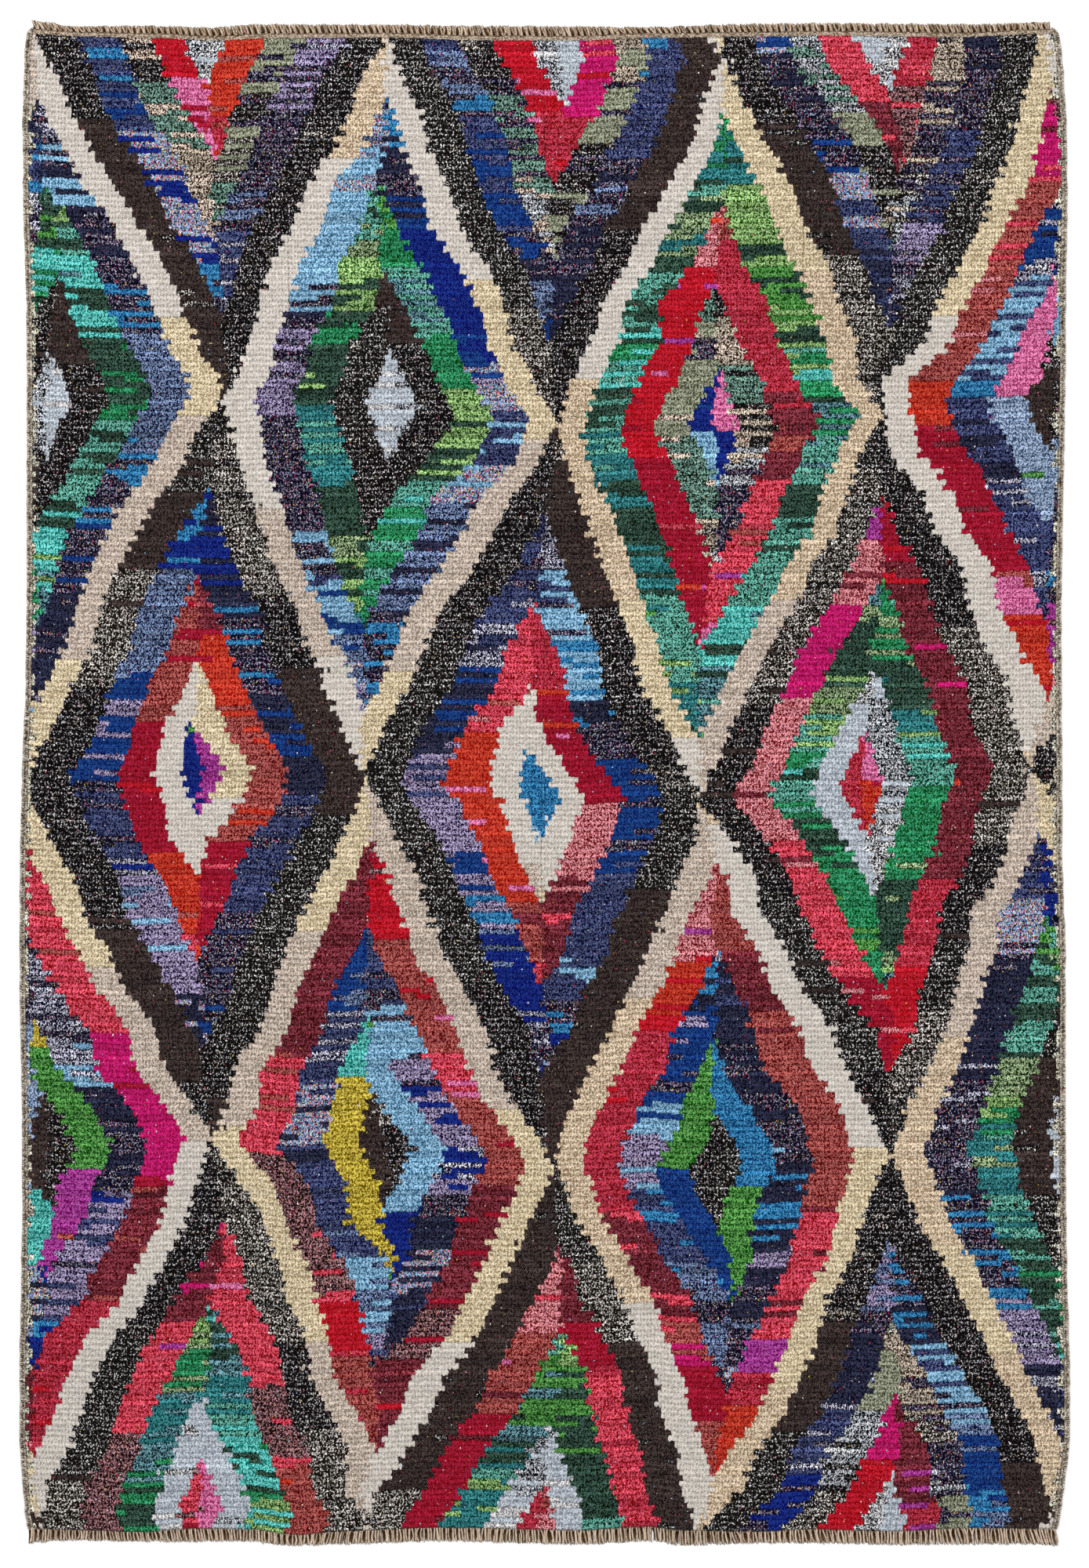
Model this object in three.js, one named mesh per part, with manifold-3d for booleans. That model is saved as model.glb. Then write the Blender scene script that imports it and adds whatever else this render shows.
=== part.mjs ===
// A hand-knotted wool rug lying flat. Sizes are in millimetres, with +Z up, +X across the rug
// and +Y along it. The origin is on the floor under the middle of the rug.
//
// It is made as the real one is. A woven ground carries rows of tied pile, both long sides are
// overcast with wool, and each end has a narrow twined strip from which the cut warp ends stand
// out as a short fringe. No edge is straight, because the loom's tension was not even.

import * as THREE from "three";
import { mergeVertices } from "three/addons/utils/BufferGeometryUtils.js";
import Module from "manifold-3d";

// Thickness of the cloth.
const GROUND_THICKNESS = 3;
const PILE_HEIGHT = 9;
const PILE_UNEVENNESS = 0.7;
const RIM_DROP = 3;
const RIM_ROLL = 9;

// Overcast sides and twined ends.
const SIDE_WIDTH = 12;
const SIDE_HEIGHT = 8;
const STRIP_THICKNESS = 5;
const STRIP_RIM_THICKNESS = 4;
const FAR_STRIP_WIDTH = 11;
const NEAR_STRIP_WIDTH = 6;
const SEAM_GAP = 0.3;

// Fringe.
const LOCKS_PER_END = 150;
const LOCK_ROOT_SHARE = 0.68;
const LOCK_TIP_SHARE = 0.5;
const LOCK_ROOT_THICKNESS = 3.6;
const LOCK_TIP_THICKNESS = 2.4;
const LOCK_INSET = 3;
const LOCK_UNEVENNESS = 3;
const LOCK_LEAN = 1.6;

// How finely the cloth follows its own edges.
const STEPS_ACROSS = 48;
const STEPS_ALONG = 20;

// Outer face of each overcast side, from the near end to the far end.
const SIDES = [
  { y: -1420, left: -988, right: 979 },
  { y: -1344, left: -998, right: 995 },
  { y: -1225, left: -1000, right: 1000 },
  { y: -733, left: -994, right: 991 },
  { y: -331, left: -1000, right: 991 },
  { y: -152, left: -999, right: 985 },
  { y: 295, left: -986, right: 983 },
  { y: 831, left: -986, right: 991 },
  { y: 1189, left: -994, right: 995 },
  { y: 1368, left: -994, right: 988 },
  { y: 1425, left: -989, right: 981 },
];

// Where the pile stops, how far the longest locks reach and how far their tips lean to +X.
const NEAR_END = [
  { x: -1000, pile: -1418, tips: -1449, lean: -5 },
  { x: -886, pile: -1421, tips: -1444, lean: -1 },
  { x: -790, pile: -1425, tips: -1446, lean: 1 },
  { x: -693, pile: -1418, tips: -1447, lean: 2 },
  { x: -572, pile: -1419, tips: -1446, lean: 1 },
  { x: -484, pile: -1431, tips: -1454, lean: -1 },
  { x: -395, pile: -1423, tips: -1452, lean: -2 },
  { x: -201, pile: -1416, tips: -1446, lean: 1 },
  { x: 67, pile: -1421, tips: -1452, lean: 2 },
  { x: 201, pile: -1414, tips: -1446, lean: 0 },
  { x: 261, pile: -1421, tips: -1454, lean: -1 },
  { x: 425, pile: -1424, tips: -1449, lean: 1 },
  { x: 499, pile: -1419, tips: -1450, lean: 2 },
  { x: 678, pile: -1423, tips: -1453, lean: 1 },
  { x: 827, pile: -1417, tips: -1452, lean: 3 },
  { x: 920, pile: -1418, tips: -1452, lean: 6 },
  { x: 1000, pile: -1419, tips: -1455, lean: 17 },
];
const FAR_END = [
  { x: -1000, pile: 1424, tips: 1455, lean: -6 },
  { x: -954, pile: 1420, tips: 1450, lean: -3 },
  { x: -895, pile: 1418, tips: 1441, lean: 1 },
  { x: -754, pile: 1415, tips: 1442, lean: 3 },
  { x: -635, pile: 1410, tips: 1439, lean: 2 },
  { x: -538, pile: 1415, tips: 1445, lean: -1 },
  { x: -290, pile: 1416, tips: 1444, lean: 2 },
  { x: -142, pile: 1411, tips: 1442, lean: 3 },
  { x: 64, pile: 1410, tips: 1441, lean: 1 },
  { x: 174, pile: 1415, tips: 1439, lean: -2 },
  { x: 426, pile: 1418, tips: 1446, lean: 2 },
  { x: 529, pile: 1420, tips: 1447, lean: 3 },
  { x: 797, pile: 1417, tips: 1445, lean: 1 },
  { x: 1000, pile: 1424, tips: 1449, lean: 4 },
];

const CLOTH_TOP = GROUND_THICKNESS + PILE_HEIGHT;

const wool = {
  pile: new THREE.MeshStandardMaterial({ color: 0x7c4a55, roughness: 0.95, metalness: 0 }),
  edging: new THREE.MeshStandardMaterial({ color: 0x96846c, roughness: 0.92, metalness: 0 }),
  warp: new THREE.MeshStandardMaterial({ color: 0xa8957a, roughness: 0.9, metalness: 0 }),
};

// The value of one column of a table at a place along it, eased between its rows.
function eased(table, key, column, at) {
  const first = table[0];
  const last = table[table.length - 1];
  if (at <= first[key]) return first[column];
  if (at >= last[key]) return last[column];
  const upper = table.findIndex((row) => row[key] >= at);
  const [a, b] = [table[upper - 1], table[upper]];
  const share = (at - a[key]) / (b[key] - a[key]);
  return a[column] + (b[column] - a[column]) * share * share * (3 - 2 * share);
}

// Outer face of the rug's left (-1) or right (1) side at a height along the rug.
function sideAt(side, y) {
  return eased(SIDES, "y", side < 0 ? "left" : "right", y);
}

// Edge of the pile at the near (-1) or far (1) end.
function pileEndAt(end, x) {
  return eased(end < 0 ? NEAR_END : FAR_END, "x", "pile", x);
}

// A repeatable unevenness between -1 and 1 for the piece with this number.
function uneven(number, kind) {
  return Math.sin(number * 12.9898 + kind * 78.233) * Math.cos(number * 4.1414 + kind * 1.7);
}

// Low swells of the pile, as the hand's tension left them.
function swell(x, y) {
  const across = Math.sin(x / 171 + 0.6) * Math.cos(y / 233 - 0.4);
  const along = Math.sin(y / 97 + x / 410);
  return PILE_UNEVENNESS * (0.6 * across + 0.4 * along);
}

// Shares from 0 to 1 with a narrow first and last step for the rolled rim.
function stations(steps, length) {
  const rim = RIM_ROLL / length;
  const inner = Array.from({ length: steps - 1 }, (_, i) => rim + ((1 - 2 * rim) * i) / (steps - 2));
  return [0, ...inner, 1];
}

const ACROSS = stations(STEPS_ACROSS, 1976);
const ALONG = stations(STEPS_ALONG, 2840);

// Where a share across and a share along the knotted cloth lie in plan.
function clothPoint(u, v) {
  const level = THREE.MathUtils.lerp(sideAt(-1, 0), sideAt(1, 0), u);
  const y = THREE.MathUtils.lerp(pileEndAt(-1, level), pileEndAt(1, level), v);
  const inset = SIDE_WIDTH + SEAM_GAP;
  const x = THREE.MathUtils.lerp(sideAt(-1, y) + inset, sideAt(1, y) - inset, u);
  return { x, y };
}

// The knotted cloth: flat below, with the pile's low swells above and a rim that rolls down.
function pileCloth() {
  const box = new THREE.BoxGeometry(1, 1, 1, STEPS_ACROSS, STEPS_ALONG, 1);
  const place = box.getAttribute("position");
  for (let i = 0; i < place.count; i++) {
    const u = ACROSS[Math.round((place.getX(i) + 0.5) * STEPS_ACROSS)];
    const v = ALONG[Math.round((place.getY(i) + 0.5) * STEPS_ALONG)];
    const { x, y } = clothPoint(u, v);
    const atRim = u === 0 || u === 1 || v === 0 || v === 1;
    const top = CLOTH_TOP + swell(x, y) - (atRim ? RIM_DROP : 0);
    place.setXYZ(i, x, y, place.getZ(i) > 0 ? top : 0);
  }
  return new THREE.Mesh(box, wool.pile);
}

// One overcast side: a round-topped cord with a flat underside that follows the cloth's edge.
function overcastSide(side) {
  const section = new THREE.Shape();
  section.moveTo(0, 0);
  section.lineTo(SIDE_WIDTH, 0);
  section.lineTo(SIDE_WIDTH, 0.45 * SIDE_HEIGHT);
  section.lineTo(0.8 * SIDE_WIDTH, 0.9 * SIDE_HEIGHT);
  section.lineTo(0.5 * SIDE_WIDTH, SIDE_HEIGHT);
  section.lineTo(0.2 * SIDE_WIDTH, 0.9 * SIDE_HEIGHT);
  section.lineTo(0, 0.45 * SIDE_HEIGHT);
  const shape = { depth: 1, steps: STEPS_ALONG, bevelEnabled: false };
  const sweep = new THREE.ExtrudeGeometry(section, shape);
  const place = sweep.getAttribute("position");
  for (let i = 0; i < place.count; i++) {
    const v = ALONG[Math.round(place.getZ(i) * STEPS_ALONG)];
    const cloth = clothPoint(side < 0 ? 0 : 1, v);
    const x = cloth.x + side * (SEAM_GAP + SIDE_WIDTH / 2) - SIDE_WIDTH / 2 + place.getX(i);
    place.setXYZ(i, x, cloth.y, place.getY(i));
  }
  // Swapping height and length turned the sweep inside out, so its faces are wound back.
  sweep.setIndex(Array.from({ length: place.count }, (_, i) => i - (i % 3) + [0, 2, 1][i % 3]));
  return new THREE.Mesh(sweep, wool.edging);
}

// A mesh's geometry as a solid for joining.
function solidOf(wasm, geometry) {
  const bare = geometry.clone();
  bare.deleteAttribute("normal");
  bare.deleteAttribute("uv");
  const merged = mergeVertices(bare, 1e-4);
  return new wasm.Manifold(
    new wasm.Mesh({
      numProp: 3,
      vertProperties: merged.getAttribute("position").array,
      triVerts: new Uint32Array(merged.getIndex().array),
    }),
  );
}

// The joined solid as a three.js geometry again.
function geometryOf(solid) {
  const mesh = solid.getMesh();
  return new THREE.BufferGeometry()
    .setAttribute("position", new THREE.BufferAttribute(new Float32Array(mesh.vertProperties), 3))
    .setIndex(new THREE.BufferAttribute(new Uint32Array(mesh.triVerts), 1));
}

// The cloth's edge at one end in plan, carried on past both overcast sides.
function endLine(end) {
  const cloth = ACROSS.map((u) => clothPoint(u, end < 0 ? 0 : 1));
  const beyond = SIDE_WIDTH + SEAM_GAP;
  const [first, last] = [cloth[0], cloth[cloth.length - 1]];
  return [{ x: first.x - beyond, y: first.y }, ...cloth, { x: last.x + beyond, y: last.y }];
}

// The twined strip that locks the last row of pile, without its fringe.
function twinedStrip(end, width) {
  const line = endLine(end);
  const steps = line.length - 1;
  const box = new THREE.BoxGeometry(1, 1, 1, steps, 2, 1);
  const place = box.getAttribute("position");
  for (let i = 0; i < place.count; i++) {
    const { x, y } = line[Math.round((place.getX(i) + 0.5) * steps)];
    const outward = 0.5 + end * place.getY(i);
    const atMiddle = outward > 0.25 && outward < 0.75;
    const top = atMiddle ? STRIP_THICKNESS : STRIP_RIM_THICKNESS;
    place.setXYZ(i, x, y + end * (SEAM_GAP + outward * width), place.getZ(i) > 0 ? top : 0);
  }
  return box;
}

// One lock of cut warp ends: four-sided, flat on the floor, thinner and narrower at its tip.
function fringeLock(end, number, width) {
  const table = end < 0 ? NEAR_END : FAR_END;
  const line = endLine(end);
  const left = line[0].x;
  const pitch = (line[line.length - 1].x - left) / LOCKS_PER_END;
  const x = left + (number + 0.5) * pitch;
  const root = pileEndAt(end, x) + end * (SEAM_GAP + width - LOCK_INSET);
  const atCorner = number === 0 || number === LOCKS_PER_END - 1;
  const shortfall = atCorner ? 0 : 0.5 * LOCK_UNEVENNESS * (1 + uneven(number, end));
  const tip = eased(table, "x", "tips", x) - end * shortfall;
  const lean = eased(table, "x", "lean", x) + LOCK_LEAN * uneven(number, 3 + end);
  const box = new THREE.BoxGeometry(1, 1, 1);
  const place = box.getAttribute("position");
  for (let i = 0; i < place.count; i++) {
    const atTip = place.getY(i) * end > 0;
    const across = (atTip ? LOCK_TIP_SHARE : LOCK_ROOT_SHARE) * pitch * place.getX(i);
    const top = atTip ? LOCK_TIP_THICKNESS : LOCK_ROOT_THICKNESS;
    place.setXYZ(i, x + across + (atTip ? lean : 0), atTip ? tip : root, place.getZ(i) > 0 ? top : 0);
  }
  return box;
}

// A twined strip with its fringe fused to it.
function fringedEnd(wasm, end, width) {
  let joined = solidOf(wasm, twinedStrip(end, width));
  for (let number = 0; number < LOCKS_PER_END; number++) {
    joined = joined.add(solidOf(wasm, fringeLock(end, number, width)));
  }
  return new THREE.Mesh(geometryOf(joined), wool.warp);
}

const wasm = await Module();
wasm.setup();

const pieces = {
  pile_cloth: pileCloth(),
  edge_left: overcastSide(-1),
  edge_right: overcastSide(1),
  end_near: fringedEnd(wasm, -1, NEAR_STRIP_WIDTH),
  end_far: fringedEnd(wasm, 1, FAR_STRIP_WIDTH),
};

const rug = new THREE.Group();
for (const [name, mesh] of Object.entries(pieces)) {
  mesh.name = name;
  rug.add(mesh);
}

export default rug;
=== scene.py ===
"""Dresses a hand-knotted wool rug that lies flat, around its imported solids.

The solids give the rug's place, size and uneven outline. This script gives it its knotted pile,
its ground weave, its overcast sides and its twined and fringed ends. Lengths are in metres.
"""

from __future__ import annotations

import logging
import math
from collections.abc import Callable
from dataclasses import dataclass, field
from enum import Enum
from functools import cache

import bmesh
import bpy
import numpy as np
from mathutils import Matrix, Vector

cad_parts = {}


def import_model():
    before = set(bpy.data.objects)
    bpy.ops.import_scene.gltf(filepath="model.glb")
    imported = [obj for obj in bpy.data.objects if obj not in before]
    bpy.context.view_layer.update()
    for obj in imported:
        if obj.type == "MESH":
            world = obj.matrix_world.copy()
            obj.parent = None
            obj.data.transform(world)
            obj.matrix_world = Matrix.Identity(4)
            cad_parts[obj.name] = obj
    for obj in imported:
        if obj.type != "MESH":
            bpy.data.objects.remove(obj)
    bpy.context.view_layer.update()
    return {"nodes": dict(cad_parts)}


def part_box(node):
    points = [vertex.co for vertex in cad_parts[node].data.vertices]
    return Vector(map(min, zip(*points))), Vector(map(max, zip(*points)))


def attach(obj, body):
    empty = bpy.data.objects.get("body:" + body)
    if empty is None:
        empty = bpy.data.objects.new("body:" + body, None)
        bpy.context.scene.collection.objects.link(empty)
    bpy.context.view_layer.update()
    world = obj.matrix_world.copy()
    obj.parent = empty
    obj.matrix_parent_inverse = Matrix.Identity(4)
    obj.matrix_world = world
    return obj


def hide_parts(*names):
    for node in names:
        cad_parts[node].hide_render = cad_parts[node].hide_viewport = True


LOG = logging.getLogger("rug")
MM = 0.001
TURN = 2 * math.pi
BODY = "root"
SCREEN_GAMMA = 2.2
# How light the wools are spun, next to the tones that they show under the lamps.
TONE = 0.906
# Vertices lower than this stand on the floor.
FLOOR_LEVEL = 0.1 * MM
# How far an edging reaches beyond the pile.
SIDE_REACH = 12.3 * MM
# How far from the rug's middle the sides are read for the corners.
END_REACH = 1.45

Colour = tuple[int, int, int]
Rgba = tuple[float, float, float, float]
Size = tuple[float, float, float]
Arrays = tuple[np.ndarray, np.ndarray, np.ndarray]
Socket = bpy.types.NodeSocket
Value = float | Rgba | Socket
Placing = Callable[[np.ndarray, np.ndarray], np.ndarray]


def opaque(parts: np.ndarray) -> Rgba:
    """A colour's three parts with full opacity."""
    return (*(float(part) for part in parts), 1.0)


def linear(colour: Colour) -> Rgba:
    """The linear form that shaders use of a screen colour, with full opacity."""
    return opaque((np.array(colour) / 255) ** SCREEN_GAMMA)


@dataclass(frozen=True)
class Yarn:
    """One wool, spun from lighter and darker fibres.

    Attributes:
        colour: Its middle colour.
        spread: How far its lightest and darkest tufts stand from that, in screen steps.
        rare: How much rarer its light tufts are than its dark ones, from 0 to 1.
        odd: The share of its tufts that other wools were spun into.
        bands: How strongly its shade changes from row to row, where the dye took unevenly.
    """

    colour: Colour
    spread: int
    rare: float = 0.0
    odd: float = 0.001
    bands: float = 0.05

    def end(self, way: int) -> np.ndarray:
        """The screen colour of its darkest (-1) or lightest (1) tufts, from 0 to 1."""
        return TONE * np.clip(np.array(self.colour) + way * self.spread, 2, 252) / 255


class Wool(Enum):
    """The wools that the knots are tied from."""

    CREAM = Yarn((210, 202, 193), 24, bands=0.015)
    WARM_CREAM = Yarn((210, 190, 156), 46, bands=0.03)
    OAT = Yarn((200, 178, 150), 50, bands=0.03)
    BEIGE = Yarn((192, 176, 162), 42, bands=0.03)
    OATMEAL = Yarn((166, 148, 128), 104)
    MILK = Yarn((192, 188, 192), 66)
    ICE = Yarn((176, 184, 194), 40, bands=0.04)
    PEARL = Yarn((136, 136, 144), 114, 0.06, bands=0.06)
    FROST = Yarn((118, 122, 130), 114, 0.09, bands=0.08)
    CHARCOAL = Yarn((137, 134, 132), 116, 0.36, bands=0.08)
    PEAT = Yarn((136, 129, 123), 114, 0.25, bands=0.08)
    COAL = Yarn((128, 123, 124), 112, 0.37, 0.004, 0.08)
    BARK = Yarn((54, 44, 42), 24, 0.0, 0.004, 0.08)
    TAN = Yarn((148, 120, 102), 112, 0.04, bands=0.06)
    CRIMSON = Yarn((192, 38, 64), 60, 0.0, 0.004, 0.06)
    CARMINE = Yarn((166, 24, 50), 48, 0.0, 0.004, 0.06)
    SCARLET = Yarn((180, 14, 36), 26, odd=0.004)
    RUBY = Yarn((152, 14, 44), 24, odd=0.004)
    GARNET = Yarn((106, 24, 40), 42, 0.0, 0.004, 0.10)
    RASPBERRY = Yarn((186, 14, 98), 30, 0.0, 0.005, 0.05)
    RUST = Yarn((144, 54, 50), 54, bands=0.06)
    VERMILION = Yarn((186, 48, 28), 34)
    EMBERS = Yarn((108, 54, 60), 86, 0.14, 0.02, 0.06)
    PINK = Yarn((204, 96, 146), 52, bands=0.04)
    SALMON = Yarn((192, 84, 94), 84)
    CORAL = Yarn((180, 82, 66), 50)
    ORCHID = Yarn((154, 48, 136), 40)
    COBALT = Yarn((14, 36, 116), 22)
    ROYAL = Yarn((14, 54, 118), 26, bands=0.06)
    INK = Yarn((32, 34, 58), 28, 0.0, 0.004, 0.08)
    NIGHT = Yarn((84, 78, 102), 72, 0.29, 0.04, 0.08)
    DENIM = Yarn((118, 116, 150), 116, 0.14, 0.004, 0.10)
    NAVY = Yarn((44, 54, 96), 50, 0.05, 0.004, 0.10)
    MAUVE = Yarn((108, 94, 132), 84, 0.02, 0.002, 0.06)
    STORM = Yarn((60, 82, 122), 80, 0.04, 0.006, 0.10)
    SLATE = Yarn((118, 138, 168), 64, bands=0.06)
    SKY = Yarn((110, 156, 188), 58, bands=0.06)
    AZURE = Yarn((26, 108, 158), 50, bands=0.06)
    CONFETTI = Yarn((50, 88, 130), 84, 0.0, 0.28, 0.08)
    EMERALD = Yarn((14, 118, 70), 52, bands=0.10)
    JADE = Yarn((34, 118, 100), 88, bands=0.06)
    TURQUOISE = Yarn((60, 168, 160), 64)
    TEAL = Yarn((24, 104, 108), 48, bands=0.08)
    PETROL = Yarn((44, 96, 106), 76, 0.04, bands=0.08)
    BOTTLE = Yarn((32, 62, 49), 40, bands=0.10)
    SAGE = Yarn((124, 128, 106), 56)
    MOSS = Yarn((94, 118, 72), 84, 0.04, bands=0.10)
    OLIVE = Yarn((100, 140, 66), 78, bands=0.10)
    LEAF = Yarn((54, 122, 40), 56, bands=0.08)
    YELLOW = Yarn((173, 151, 30), 62)
    STONE = Yarn((134, 118, 100), 96, 0.04, 0.002, 0.08)
    LICHEN = Yarn((56, 98, 84), 84, 0.04, 0.002, 0.08)


WOOLS = tuple(Wool)
ODD_COLOURS = ((236, 230, 224), (216, 112, 140), (206, 178, 84), (196, 44, 60), (150, 186, 214))


@dataclass(frozen=True)
class Family:
    """Wools that follow each other along one band of the pattern.

    Attributes:
        wools: The wools, with a common one named more than once.
        least_rows: The fewest rows tied before the wool changes.
        most_rows: The most rows tied before the wool changes.
        dashed: The share of dashes tied from another of the wools.
    """

    wools: tuple[Wool, ...]
    least_rows: int
    most_rows: int
    dashed: float = 0.0


def family(names: str, least_rows: int, most_rows: int, dashed: float = 0.0) -> Family:
    """Makes a family of the wools in a row of names."""
    return Family(tuple(Wool[name] for name in names.split()), least_rows, most_rows, dashed)


class Range(Enum):
    """The ranges of wool that the pattern's bands are tied from."""

    DARK = family("CHARCOAL COAL PEAT COAL CHARCOAL BARK BARK", 12, 46, 0.05)
    PALE = family("CREAM CREAM BEIGE CREAM OAT WARM_CREAM", 18, 60)
    COOL = family("ICE PEARL MILK ICE FROST", 8, 30, 0.15)
    RED = family(
        "CRIMSON CARMINE CRIMSON SCARLET CARMINE RUBY GARNET RASPBERRY EMBERS SALMON"
        " GARNET VERMILION PINK ORCHID RUST RUBY",
        6,
        36,
        0.10,
    )
    GREEN = family(
        "JADE EMERALD BOTTLE JADE BOTTLE PETROL TEAL TURQUOISE OLIVE EMERALD MOSS BOTTLE LEAF BOTTLE",
        2,
        16,
        0.36,
    )
    BLUE = family(
        "NAVY DENIM INK STORM NIGHT CONFETTI NAVY SKY ROYAL NIGHT COBALT AZURE MAUVE INK NIGHT",
        3,
        24,
        0.34,
    )
    EARTH = family("STONE FROST SAGE TAN LICHEN NIGHT PEAT COAL", 4, 22, 0.30)
    BRIGHT = family("YELLOW PINK COBALT SKY ORCHID AZURE LEAF CORAL TURQUOISE ROYAL SLATE", 14, 38, 0.04)


@dataclass(frozen=True)
class Band:
    """One nested band of a lozenge, out to a share of the way from its heart to its rim."""

    out_to: float
    family: Family


def nested(rim: Range, *bands: tuple[float, Range]) -> tuple[Band, ...]:
    """Nests bands inside the one at a lozenge's rim, from its heart outwards."""
    return tuple(Band(out_to, kind.value) for out_to, kind in (*bands, (1.0, rim)))


LOZENGES = (
    nested(Range.DARK, (0.13, Range.BRIGHT), (0.30, Range.PALE), (0.52, Range.RED), (0.76, Range.BLUE)),
    nested(Range.DARK, (0.14, Range.RED), (0.31, Range.COOL), (0.56, Range.GREEN), (0.78, Range.RED)),
    nested(Range.DARK, (0.15, Range.COOL), (0.36, Range.RED), (0.56, Range.EARTH), (0.78, Range.BLUE)),
)
BETWEEN = (
    nested(Range.PALE, (0.16, Range.DARK), (0.36, Range.BRIGHT), (0.60, Range.BLUE), (0.83, Range.RED)),
    nested(Range.PALE, (0.15, Range.COOL), (0.36, Range.DARK), (0.60, Range.GREEN), (0.83, Range.BLUE)),
    nested(Range.PALE, (0.16, Range.BRIGHT), (0.38, Range.EARTH), (0.60, Range.RED), (0.84, Range.GREEN)),
)


@dataclass(frozen=True)
class Wave:
    """A slow sway.

    Attributes:
        size: How far it goes.
        length: The length over which it turns by one radian.
        start: Where in its turn it starts.
    """

    size: float
    length: float
    start: float = 0.0

    def at(self, place: np.ndarray, ahead: np.ndarray | float = 0.0) -> np.ndarray:
        """How far it goes at some places, where it may be ahead in its turn."""
        return self.size * np.sin(place / self.length + self.start + ahead)


@dataclass
class PileChart:
    """Which wool each knot is tied from: nested lozenges, with the wool changing as it ran out.

    Attributes:
        columns: Knots across the rug.
        rows: Rows of knots along it.
        width: The pattern's width.
        length: The pattern's length.
        half_across: Half the width of a lozenge.
        half_along: Half the length of a lozenge.
        combed: How far a band's edge steps to and fro from row to row, in knots.
        ragged: How far it strays from row to row, in knots.
        wavy: How far it sways over several rows, in knots.
        pale_rim: The share of rows whose outermost knots are undyed.
        slips: The share of knots that are tied from the wool two knots away.
        dash_runs: The fewest knots in a dash, and one more than the most.
        slow_bend: How the lattice sways aside along the rug.
        quick_bend: How it sways aside more quickly.
        lift: How it sways along the rug.
        seed: Where its random choices start.
        wool: The number of each knot's wool, by row and column.
    """

    columns: int
    rows: int
    width: float
    length: float
    half_across: float = 325 * MM
    half_along: float = 710 * MM
    combed: float = 0.45
    ragged: float = 0.55
    wavy: float = 1.5
    pale_rim: float = 0.5
    slips: float = 0.005
    dash_runs: tuple[int, int] = (4, 30)
    slow_bend: Wave = Wave(20 * MM, 0.31, 1.3)
    quick_bend: Wave = Wave(11 * MM, 0.13)
    lift: Wave = Wave(30 * MM, 0.27, 0.7)
    seed: int = 43
    wool: np.ndarray = field(init=False)

    def __post_init__(self) -> None:
        """Ties the chart's knots, row by row."""
        rng = np.random.default_rng(self.seed)
        heart, share, side, kind = self.lattice(rng)
        self.wool = np.zeros((self.rows, self.columns), int)
        dashes = self.dashes(rng)
        for name in np.unique(heart):
            here = heart == name
            variants = LOZENGES if kind[here][0] else BETWEEN
            bands = variants[int(rng.integers(len(variants)))]
            inner = 0.0
            for band in bands:
                for left in (False, True):
                    arm = here & (side == left) & (share >= inner) & (share <= band.out_to)
                    main, second = self.runs(band.family, rng), self.runs(band.family, rng)
                    rows = np.nonzero(arm)[0]
                    self.wool[arm] = np.where(dashes[arm] < band.family.dashed, second[rows], main[rows])
                inner = band.out_to
        self.strays(rng)

    def wander(self, rng: np.random.Generator, rows: int, columns: int, size: float) -> np.ndarray:
        """Draws a random number for each knot that changes smoothly between knots further apart.

        Args:
            rng: The chart's random numbers.
            rows: Rows from one free number to the next.
            columns: Columns from one free number to the next.
            size: How large the numbers are.

        Returns:
            The numbers by row and column.
        """
        free = rng.normal(0, size, (self.rows // rows + 2, self.columns // columns + 2))
        down, across = np.arange(self.rows) / rows, np.arange(self.columns) / columns
        lines = np.stack([np.interp(down, np.arange(free.shape[0]), line) for line in free.T], 1)
        return np.stack([np.interp(across, np.arange(free.shape[1]), line) for line in lines])

    def lattice(self, rng: np.random.Generator) -> tuple[np.ndarray, ...]:
        """Finds where each knot lies in the lattice of lozenges.

        Args:
            rng: The chart's random numbers.

        Returns:
            Each knot's lozenge number, share of the way to its rim, side and kind of lozenge.
        """
        column, row = np.meshgrid(np.arange(self.columns), np.arange(self.rows))
        stray = self.wander(rng, 1, 12, self.ragged) + self.wander(rng, 7, 24, self.wavy)
        stray = stray + self.combed * np.where(row % 2 == 0, 1, -1)
        x = ((column + 0.5 + stray) / self.columns - 0.5) * self.width
        y = ((row + 0.5) / self.rows - 0.5) * self.length
        x = x + self.slow_bend.at(y) + self.quick_bend.at(y, x / 0.4)
        y = y + self.lift.at(x)
        i, j = x / self.half_across, y / self.half_along
        main_i, main_j = 2 * np.round(i / 2), 2 * np.round(j / 2)
        apart = np.abs(i - main_i) + np.abs(j - main_j)
        kind = apart <= 1
        heart_i = np.where(kind, main_i, main_i + np.where(i >= main_i, 1, -1))
        heart_j = np.where(kind, main_j, main_j + np.where(j >= main_j, 1, -1))
        share = np.where(kind, apart, 2 - apart)
        most = 20
        heart = (heart_i + most) * (2 * most + 1) + heart_j + most
        names = np.unique(heart)
        return np.searchsorted(names, heart), share, i < heart_i, kind

    def dashes(self, rng: np.random.Generator) -> np.ndarray:
        """Lays short horizontal dashes over all rows.

        Args:
            rng: The chart's random numbers.

        Returns:
            For each knot, a number from 0 to 1 that is the same all along a dash.
        """
        values = np.ones((self.rows, self.columns))
        for row in range(self.rows):
            column = 0
            while column < self.columns:
                run = int(rng.integers(*self.dash_runs))
                values[row, column : column + run] = rng.random()
                column += run
        return values

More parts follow.
